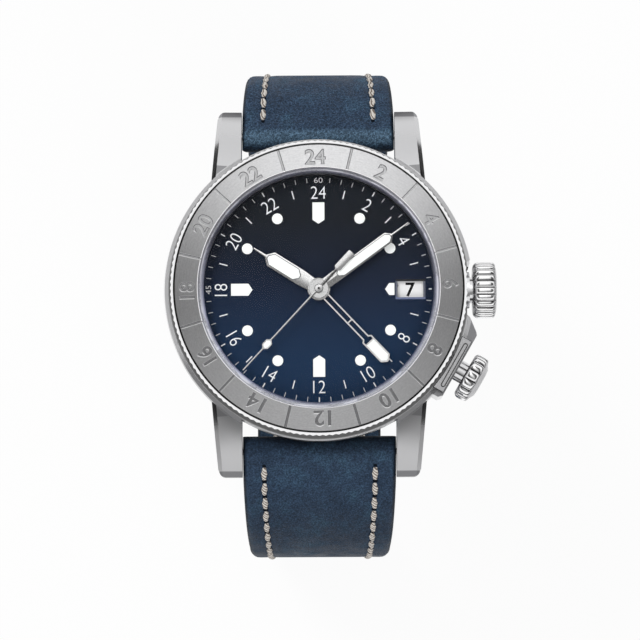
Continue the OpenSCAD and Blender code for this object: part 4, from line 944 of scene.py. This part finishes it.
class Way:  # centre line of a strap half in side view: along a bend, a leg and a foot
    def __init__(self, side, start, bend, leg):
        look = strapLook
        lean, foot = look["lean"], look["foot"]
        self.side = side
        self.start = start
        self.bend = bend
        self.legR = leg / math.radians(lean - 90)
        bendEnd = math.radians(90 - start) * bend
        self.ends = [bendEnd, bendEnd + leg, bendEnd + leg + math.radians(180 - lean) * foot]
        self.knots = [look["bar"]]
        for radius, first, last in ((bend, start, 90), (self.legR, 90, lean), (foot, lean, 180)):
            self.knots.append(self.arc(self.knots[-1], radius, first, last))

    def arc(self, p, r, a, b):
        a, b = math.radians(a), math.radians(b)
        return p[0] + r * (math.sin(b) - math.sin(a)), p[1] + r * (math.cos(b) - math.cos(a))

    def at(self, s):  # distance from the watch's axis, height, direction in degrees
        lean, foot = strapLook["lean"], strapLook["foot"]
        bendEnd, legEnd, footEnd = self.ends
        bar, knee, ankle, toe = self.knots
        if s < 0:
            a = math.radians(self.start)
            return bar[0] + s * math.cos(a), bar[1] - s * math.sin(a), self.start
        if s < bendEnd:
            a = self.start + math.degrees(s / self.bend)
            return *self.arc(bar, self.bend, self.start, a), a
        if s < legEnd:
            a = 90 + math.degrees((s - bendEnd) / self.legR)
            return *self.arc(knee, self.legR, 90, a), a
        if s < footEnd:
            a = lean + math.degrees((s - legEnd) / foot)
            return *self.arc(ankle, foot, lean, a), a
        return toe[0] - (s - footEnd), toe[1], 180

    def point(self, x, s, d):  # x across, s along, d out of the strap's middle
        y, z, a = self.at(s)
        a = math.radians(a)
        return Vector((x, self.side * (y + d * math.sin(a)), z + d * math.cos(a)))

    def frame(self, s, x=0, d=0):  # x across, y along, z outwards
        a = math.radians(self.at(s)[2])
        along = Vector((0, self.side * math.cos(a), -math.sin(a)))
        out = Vector((0, self.side * math.sin(a), math.cos(a)))
        turn = Matrix((along.cross(out), along, out)).transposed().to_4x4()
        return Matrix.Translation(self.point(x, s, d)) @ turn

    def half(self, s):  # half the thickness
        look = strapLook
        plain = look["thick"] + look["pad"] * max(0, 1 - s / self.ends[0])
        roll = math.sqrt(max(0, look["roll"] ** 2 - s * s)) if s < look["roll"] else 0
        return roll if s < 0 else max(plain, roll)

    def wide(self, s):  # half the width
        look = strapLook
        z = self.at(max(s, 0))[1]
        first = clamped((look["waistFrom"] - z) / (look["waistFrom"] - look["waistTo"]))
        second = clamped((look["waistTo"] - z) / (look["waistTo"] - look["endTo"]))
        return (look["width"] + (look["waist"] - look["width"]) * first
                + (look["end"] - look["waist"]) * second) / 2


tailWay = Way(-1, *strapLook["tail"])
buckleWay = Way(1, *strapLook["buckle"])


def crownOf(way, s, d, half):  # how far the padding lifts the top, d from the edge
    reach = way.ends[0] * 1.3
    if s >= reach:
        return 0
    inner = clamped((d - 3.1) / 1.6)
    lift = strapLook["crown"] * inner * inner * (3 - 2 * inner) * (1 - max(0, s) / reach)
    return lift * min(1, half / strapLook["roll"])


def leatherSection(way, s, wide, half):  # outline across the strap
    look = strapLook
    marks = [d * min(1, wide / 8) for d in look["rows"]]
    across = [-wide + d for d in marks] + [0] + [wide - d for d in reversed(marks)]
    r = min(look["round"], half * 0.85)
    ring = []
    for side in (1, -1):
        for x in (across if side > 0 else reversed(across)):
            d = wide - abs(x)
            drop = r - math.sqrt(max(0, r * r - max(0, r - d) ** 2))
            dip = look["groove"] * math.exp(-((d - look["stitchIn"]) / look["grooveWide"]) ** 2)
            dip = dip * min(1, half) if half >= 0.5 else 0
            lift = crownOf(way, s, d, half) if side > 0 else 0
            ring.append(way.point(x, s, side * (half - drop - dip + lift)))
    return ring


def strapRings(way, length, tip):  # tip: the end is a half circle, else square with a soft edge
    look = strapLook
    roll, reach, soft = look["roll"], look["tip"], look["endRound"]
    straight = length - (reach if tip else 0)
    count = math.ceil(straight / look["step"])
    stations = []
    for i in range(8):
        a = math.radians(88 - 88 * i / 8)
        stations.append((-roll * math.sin(a), roll * math.cos(a)))
    stations += [(straight * i / count, None) for i in range(count + 1)]
    if tip:
        stations += [(straight + reach * math.sin(math.radians(88.5 * i / 14)), None)
                     for i in range(1, 15)]
    else:
        for i in range(1, 7):
            a = math.radians(88 * i / 6)
            stations.append((length + soft * math.sin(a), soft * math.cos(a)))
    rings = []
    for s, half in stations:
        wide = way.wide(s)
        half = way.half(s) if half is None else half
        if tip and s > straight:
            wide *= math.sqrt(max(0, 1 - ((s - straight) / reach) ** 2))
            half *= min(1, 0.35 + wide / 4)
        rings.append(leatherSection(way, s, wide, half))
    return rings


leatherLook = {"blues": ((0.3, tone(38, 54, 74)), (0.5, tone(48, 66, 88)),
                         (0.62, tone(56, 80, 102)), (0.74, tone(72, 102, 122))),
               "rollHighlight": tone(96, 124, 146), "rollOut": (23.9, 22.6), "rollIn": (20.8, 21.8),
               "grain": 4.5, "pores": 5.5, "creases": 1.5, "wrinkles": 1.7, "relief": 0.7}


def makeLeather():
    look = leatherLook
    paint = Paint("blue_leather", specular=0.16, rough=0.6)
    place = paint.place()
    y = paint.parts(place)[1]
    nx, ny = paint.facing()[:2]
    cloud = paint.noise(place, 0.16, 5, 0.62)
    patch = paint.noise(place + 40, 0.42, 5, 0.6)
    crease = paint.cells(place + paint.noise(place, 1.2, 4) * 1.3, look["creases"],
                         "DISTANCE_TO_EDGE")
    wrinkle = paint.cells(place + paint.noise(place, 1.6, 3) * 1.1, look["wrinkles"],
                          "DISTANCE_TO_EDGE")
    pores = paint.cells(place, look["pores"])
    grain = paint.noise(place, look["grain"], 6, 0.7)
    # Painted highlight where the top roll bulges, with fine grain and dark painted edges
    roll = paint.span(y, *look["rollOut"]) * paint.span(y, *look["rollIn"], 0, 0.55)
    base = paint.mix(roll, paint.ramp(cloud * 0.55 + patch * 0.45, *look["blues"]),
                     look["rollHighlight"])
    # Painted highlight along the wrinkle ridges, stronger on the upper half
    ridge = paint.span(wrinkle, 0.02, 0.15, 0.65, -0.14) * paint.span(y, -1, 1, 0.3, 1)
    # Painted shade under and near the case at 6 o'clock
    under = paint.span(y, -24.5, -22, 0, 0.35)
    light = paint.span(grain, 0.36, 0.66, 0.5, 1.42) * (1 + ridge - under * (y < 0))
    # Dark painted edges, and painted shade on faces turned towards 6 o'clock
    light = light * paint.span(abs(nx), 0.45, 0.8, 1, 0.35) * paint.span(ny, -0.5, -0.9, 1, 0.7)
    # Painted shade along the creases
    light = light * paint.span(crease, 0.0, 0.07, 0.8, 1.05)
    height = grain * 0.6 + pores * 0.35 + paint.span(crease, 0, 0.08) * 0.35
    paint.set(base=base * paint.even(light), rough=paint.uneven(patch, 0.5, 0.7),
              normal=paint.bump(height, look["relief"], 0.00014))
    return paint


def makeThread():
    paint = Paint("thread_beige", rough=0.8, specular=0.2, sheen=0.3)
    twist = paint.waves(1.0, 0.6, bands_direction="DIAGONAL")
    fuzz = paint.noise(paint.place(), 7, 3)
    # Painted shade between the twisted strands
    paint.set(base=paint.mix(paint.span(twist + fuzz * 0.4, 0.25, 0.85), tone(112, 98, 88),
                             tone(228, 222, 214)), normal=paint.bump(twist, 0.6, 0.0001))
    return paint


leatherPaint, threadPaint = makeLeather(), makeThread()
# Dark capsules in the stitch holes stand in for the shade inside them
holeShadePaint = Paint("stitch_hole_shade", rough=0.9, specular=0.1)
holeShadePaint.set(base=holeShadePaint.mix(holeShadePaint.noise(holeShadePaint.place(), 5), tone(8, 12, 17),
                                 tone(20, 28, 38)))

stitchLook = {"pitch": 2.3, "length": 1.95, "radius": 0.36, "first": 2.6, "hole": 0.34,
              "lean": 4, "roundTip": 8, "twist": 0.9, "ply": 0.16, "middle": 1.07,
              "shape": [(0.12, 1.06), (0.24, 1.03), (0.36, 0.95), (0.46, 0.7), (0.5, 0.35)]}


def capsule(length, radius, flat=0.8, twist=0):  # twist: turns of its two strands
    look = stitchLook
    ply = look["ply"] if twist else 0
    shape = look["shape"]
    stations = [(-place, share) for place, share in reversed(shape)] + [(0, look["middle"])] + shape
    rings = []
    for along, share in stations:
        ring = []
        for a in around(12):
            r = radius * share * (1 + ply * math.cos(2 * (a - 2 * math.pi * twist * along)))
            ring.append((r * math.cos(a), length * along, r * flat * math.sin(a)))
        rings.append(ring)
    return loft(rings)


def surface(way, s, side, proud=0):  # height of the stitch line over the strap's middle
    return side * (way.half(s) - strapLook["groove"] * 0.6) + side * proud


def seam(way, side, hand, count, threads, holes, draw):  # a straight row of stitches, with holes
    look = stitchLook
    inset = strapLook["stitchIn"]
    for i in range(count + 1):
        s = look["first"] + i * look["pitch"]
        lean = turned(draw.uniform(-look["lean"], look["lean"]))
        spot = way.frame(s, hand * (way.wide(s) - inset), surface(way, s, side, 0.08))
        threads.add(capsule(look["length"], look["radius"], 0.8, look["twist"]), spot @ lean)
        for end in (-1, 1):
            at = s + end * look["pitch"] / 2
            spot = way.frame(at, hand * (way.wide(at) - inset), surface(way, at, side))
            holes.add(capsule(look["hole"] * 1.3, look["hole"], 0.35), spot)


def tipSeam(way, side, length, threads):  # stitches round the half circle of the tip
    look = stitchLook
    radius = strapLook["tip"]
    reach = radius - strapLook["stitchIn"]
    for i in range(1, look["roundTip"] + 1):
        a = math.pi * i / (look["roundTip"] + 1)
        s = length - radius + reach * math.sin(a)
        spot = way.frame(s, -reach * math.cos(a), surface(way, s, side, 0.05))
        threads.add(capsule(look["length"], look["radius"]), spot @ turned(90 - math.degrees(a)))


def stitchRows(way, length, tip, threads, holes, draw):
    straight = length - strapLook["tip"] * (1 if tip else 2)
    count = int((straight - stitchLook["first"]) / stitchLook["pitch"])
    for side in (1, -1):
        for hand in (-1, 1):
            seam(way, side, hand, count, threads, holes, draw)
        if tip:
            tipSeam(way, side, length, threads)


def makeStrap(name, way, length, tip, body, node, seed):
    look = strapLook
    made = Heap().add(loft(strapRings(way, length, tip))).build(name)
    tools = Heap()
    if tip:
        hole = revolve([(look["holeRadius"], -4), (look["holeRadius"], 4)], 24, False)
        for i in range(look["holes"]):
            tools.add(hole, way.frame(length - look["holeFrom"] - look["holePitch"] * i))
    else:
        tools.add(box(*look["slot"]), way.frame(length))
    cut(made, tools)
    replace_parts(dress(made, leatherPaint, body, 50), node)
    threads, holes = Heap(), Heap()
    stitchRows(way, length, tip, threads, holes, random.Random(seed))
    threads.build(name + "_stitches", threadPaint, body, "strap_leather", 60)
    holes.build(name + "_holes", holeShadePaint, body, "strap_leather", 60)


makeStrap("strap_tail", tailWay, strapLook["tailLength"], True, "strap_tail",
          "strap_tail_side", 7)
makeStrap("strap_buckle", buckleWay, strapLook["buckleLength"], False, "strap_buckle",
          "strap_buckle_side", 8)

keeperLook = {"length": 5, "wall": 1.2, "corner": 1.0, "edge": 0.4, "stitch": 1.3,
              "thread": 0.2, "pitch": 1.9, "fixedFromEnd": 15, "freeFromEnd": 26}


def makeKeeper(name, fromEnd, gap, body, node=None):  # a rounded loop of leather round the strap
    look = keeperLook
    way = buckleWay
    s = strapLook["buckleLength"] - fromEnd
    w = way.wide(s) + gap
    low = -way.half(s) - gap
    high = low + 4 * way.half(s) + 0.8 + gap
    r, half, wall, edge = look["corner"], look["length"] / 2, look["wall"], look["edge"]
    path = []
    for cx, cz, start in ((w - r, high - r, 0), (r - w, high - r, 90), (r - w, low + r, 180),
                          (w - r, low + r, 270)):
        for i in range(7):
            a = math.radians(start + 15 * i)
            path.append((cx + r * math.cos(a), cz + r * math.sin(a), math.cos(a), math.sin(a)))
    side = [(half - 0.1, 0), (half, 0.1), (half, wall - edge),
            (half - edge * 0.3, wall - edge * 0.3), (half - edge, wall)]
    section = [(-side[0][0], 0)] + side + [(-a, out) for a, out in reversed(side[1:])]
    rings = [[(x + nx * out, along, z + nz * out) for along, out in section]
             for x, z, nx, nz in path]
    made = Heap().add(loft(rings, closedWay=True), way.frame(s)).build(
        name, leatherPaint, body, "strap_leather", 50)
    if node:
        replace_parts(made, node)
    threads = Heap()
    for hand in (-1, 1):
        for i in range(-4, 5):
            spot = way.frame(s) @ moved(i * look["pitch"], hand * (half - 0.9), high + wall + 0.02)
            threads.add(capsule(look["stitch"], look["thread"]), spot @ turned(90))
    threads.build(name + "_stitches", threadPaint, body, "strap_leather", 60)


makeKeeper("keeper_fixed", keeperLook["fixedFromEnd"], 0.02, "strap_buckle")
makeKeeper("keeper_free", keeperLook["freeFromEnd"], 0.4, "keeper", "free_keeper")
print("strap done")

# Finishes of the movement, the back and the buckle

def nickelPaint():
    paint = steel("nickel_grained", (0.66, 0.65, 0.62, 1), 0.3)
    swirl = paint.noise(paint.join(paint.cells(paint.place(), 0.55) * 30, 0, 0), 1, 3)
    paint.set(rough=paint.uneven(swirl, 0.22, 0.38), normal=paint.bump(swirl, 0.3))
    return paint


def stripedPaint():
    paint = steel("nickel_striped", (0.68, 0.67, 0.64, 1), 0.26)
    wave = paint.waves(0.22, 0.3, bands_direction="X", wave_profile="SIN")
    paint.set(rough=paint.span(wave, 0, 1, 0.2, 0.34), normal=paint.bump(wave, 0.4, 0.0001))
    return paint


def giltPaint():
    paint = steel("gilt_brass", (0.72, 0.52, 0.22, 1), 0.25)
    cloud = paint.noise(paint.place(), 4, 4)
    paint.set(base=paint.mix(cloud, (0.66, 0.45, 0.17, 1), (0.8, 0.6, 0.28, 1)),
              rough=paint.uneven(cloud, 0.2, 0.32))
    return paint


def bluedPaint():
    paint = steel("blued_steel", (0.05, 0.12, 0.4, 1), 0.18)
    cloud = paint.noise(paint.place(), 2.5, 3)
    paint.set(base=paint.mix(cloud, (0.03, 0.07, 0.3, 1), (0.08, 0.18, 0.5, 1)))
    return paint


def rubberPaint():
    paint = Paint("gasket_black", base=grey(0.03, 0), rough=0.7, specular=0.3)
    paint.set(normal=paint.bump(paint.noise(paint.place(), 12, 4), 0.2))
    return paint


def backPaint():  # turned on a lathe
    paint = steel("back_steel", grey(0.62), 0.28, 0.6)
    x, y, z = paint.parts(paint.place())
    turning = paint.noise(paint.join(paint.length(x, y) * 9, z * 2, 0), 1, 3)
    paint.set(rough=paint.uneven(turning, 0.2, 0.36), normal=paint.bump(turning, 0.3))
    return paint


coverSolids(backPaint(), "case_back")
coverSolids(rubberPaint(), "back_gasket", "crown_gasket")
coverSolids(grained(steel("spring_steel", (0.35, 0.37, 0.42, 1), 0.25), "z", 0.1, 0.25, 8),
            "ring_spring", "mainspring")
coverSolids(bluedPaint(), "hairspring", "bridge_screws")
coverSolids(polished, "crown_tube", "lock_tube", "winding_stem")
coverSolids(satin, "spring_bars", "winding_pinion", "clutch_wheel", "setting_lever", "yoke",
            "cannon_pinion", "pallet_fork", "escape_wheel", "crown_wheel", "ratchet_wheel",
            "movement_holder")
coverSolids(giltPaint(), "setting_wheel", "minute_wheel", "barrel", "second_wheel",
            "third_wheel", "fourth_wheel", "balance")
coverSolids(nickelPaint(), "mainplate", "pallet_bridge", "date_plate")
coverSolids(stripedPaint(), "barrel_bridge", "train_bridge", "balance_cock",
            "automatic_bridge", "rotor")
coverSolids(worn(steel("buckle_steel", grey(0.7), 0.14), 0.1, 0.2), "buckle_frame",
            "buckle_tongue", "buckle_bar")
print("movement and buckle done")

# Floor, and what only the steel reflects: a ceiling with a bright strip and a wall round the watch
stageLook = {"floor": -66.25, "floorReach": 3000, "daylight": 0.5, "white": 0.93}
ceilingLook = {"height": 420, "reach": 900, "strip": 45, "fade": 130, "dark": 0.1, "skew": 0.03,
               "along": ((-300, 0.3), (-180, 0.35), (-50, 0.8), (45, 1.05), (150, 1.7),
                         (300, 1.4))}
wallLook = {"radius": 300, "top": 300, "dark": 0.06, "bright": 1.0, "from": 5, "to": 85}


def stagePiece(name, shape, paint, onlyReflected=False):
    made = Heap().add(shape).build(name)
    made.data.materials.append(paint.material)
    if onlyReflected:
        made.visible_camera = made.visible_diffuse = made.visible_shadow = False
        made.visible_transmission = False


def sheet(reach, height):
    corners = ((-reach, -reach), (reach, -reach), (reach, reach), (-reach, reach))
    return [(x, y, height) for x, y in corners], [(0, 1, 2, 3)]


def floorPaint():
    paint = Paint("floor_white", base=grey(0.93, 0), rough=0.8, specular=0.1)
    plain = Wire(paint, paint.shader.outputs[0])
    paint.cover(paint.node("MixShader", {}, {0: paint.seen() * stageLook["white"], 1: plain,
                                            2: paint.light((1, 1, 1, 1))}))
    return paint


def ceilingPaint():  # bright from 12 to 6 o'clock between dark sides
    look = ceilingLook
    paint = Paint("ceiling")
    x, y = paint.parts(paint.place())[:2]
    strip = paint.span(abs(x - y * look["skew"]), look["strip"], look["fade"], 1, 0)
    first, last = look["along"][0][0], look["along"][-1][0]
    stops = [((place - first) / (last - first), grey(bright / 2, 0))
             for place, bright in look["along"]]
    along = paint.parts(paint.ramp((y - first) / (last - first), *stops))[0] * 2
    level = look["dark"] + strip * (along - look["dark"])
    paint.cover(paint.light(paint.even(level)))
    return paint


def wallPaint():  # dark at the floor and bright above
    look = wallLook
    paint = Paint("wall")
    z = paint.parts(paint.place())[2]
    level = paint.span(z, look["from"], look["to"], look["dark"], look["bright"])
    paint.cover(paint.light(paint.even(level)))
    return paint


def makeStage():
    floor, radius = stageLook["floor"], wallLook["radius"]
    stagePiece("floor", sheet(stageLook["floorReach"], floor), floorPaint())
    stagePiece("ceiling", sheet(ceilingLook["reach"], ceilingLook["height"]), ceilingPaint(), True)
    rings = [[(radius * math.cos(a), radius * math.sin(a), z) for a in around(72)]
             for z in (floor, wallLook["top"])]
    stagePiece("wall", loft(rings, caps=False), wallPaint(), True)


class Sky(Paint):  # the same helpers on the world's nodes
    def __init__(self, world):
        world.use_nodes = True
        self.tree = world.node_tree


def makeSky():
    world = bpy.data.worlds.new("studio")
    bpy.context.scene.world = world
    sky = Sky(world)
    daylight = stageLook["daylight"]
    background = sky.tree.nodes["Background"].inputs
    sky.plug(daylight + sky.seen() * (1 - daylight), background["Strength"])
    sky.plug((1, 1, 1, 1), background["Color"])


# Lamps: place and size in metres, power in watts
lampLook = {"top_soft": ((-0.42, 0.42, 0.85), (0.26, 0.26), 3.9),
            "low_soft": ((0.2, -0.7, 0.7), (0.5, 0.4), 2.4)}


def lamp(name, place, size, power):
    data = bpy.data.lights.new(name, "AREA")
    data.shape = "RECTANGLE"
    data.size, data.size_y = size
    data.energy = power
    made = linked(name, data)
    made.location = place
    made.rotation_euler = (-Vector(place)).to_track_quat("-Z", "Y").to_euler()
    made.visible_glossy = False


makeStage()
makeSky()
for name, settings in lampLook.items():
    lamp(name, *settings)

cameraLook = {"target": (0.15, -4.11, 5), "azimuth": -0.48, "elevation": 83.84, "away": 466.9,
              "roll": -0.29, "focal": 3278.7, "picture": 640, "sensor": 36}


def makeCamera():  # focal is in pixels of the picture
    look = cameraLook
    azimuth, elevation = math.radians(look["azimuth"]), math.radians(look["elevation"])
    roll = math.radians(look["roll"])
    level = math.cos(elevation)
    back = Vector((math.sin(azimuth) * level, -math.cos(azimuth) * level, math.sin(elevation)))
    right = Vector((0, 1, 0)).cross(back).normalized()
    up = back.cross(right)
    side = right * math.cos(roll) + up * math.sin(roll)
    top = up * math.cos(roll) - right * math.sin(roll)
    data = bpy.data.cameras.new("camera")
    data.sensor_width = look["sensor"]
    data.lens = look["focal"] * look["sensor"] / look["picture"]
    data.clip_start = 0.01
    made = linked("camera", data)
    spot = (Vector(look["target"]) + back * look["away"]) * mm
    made.matrix_world = Matrix.Translation(spot) @ Matrix((side, top, back)).transposed().to_4x4()
    bpy.context.scene.camera = made


makeCamera()
bpy.context.scene.view_settings.view_transform = "Standard"
print("stage done")
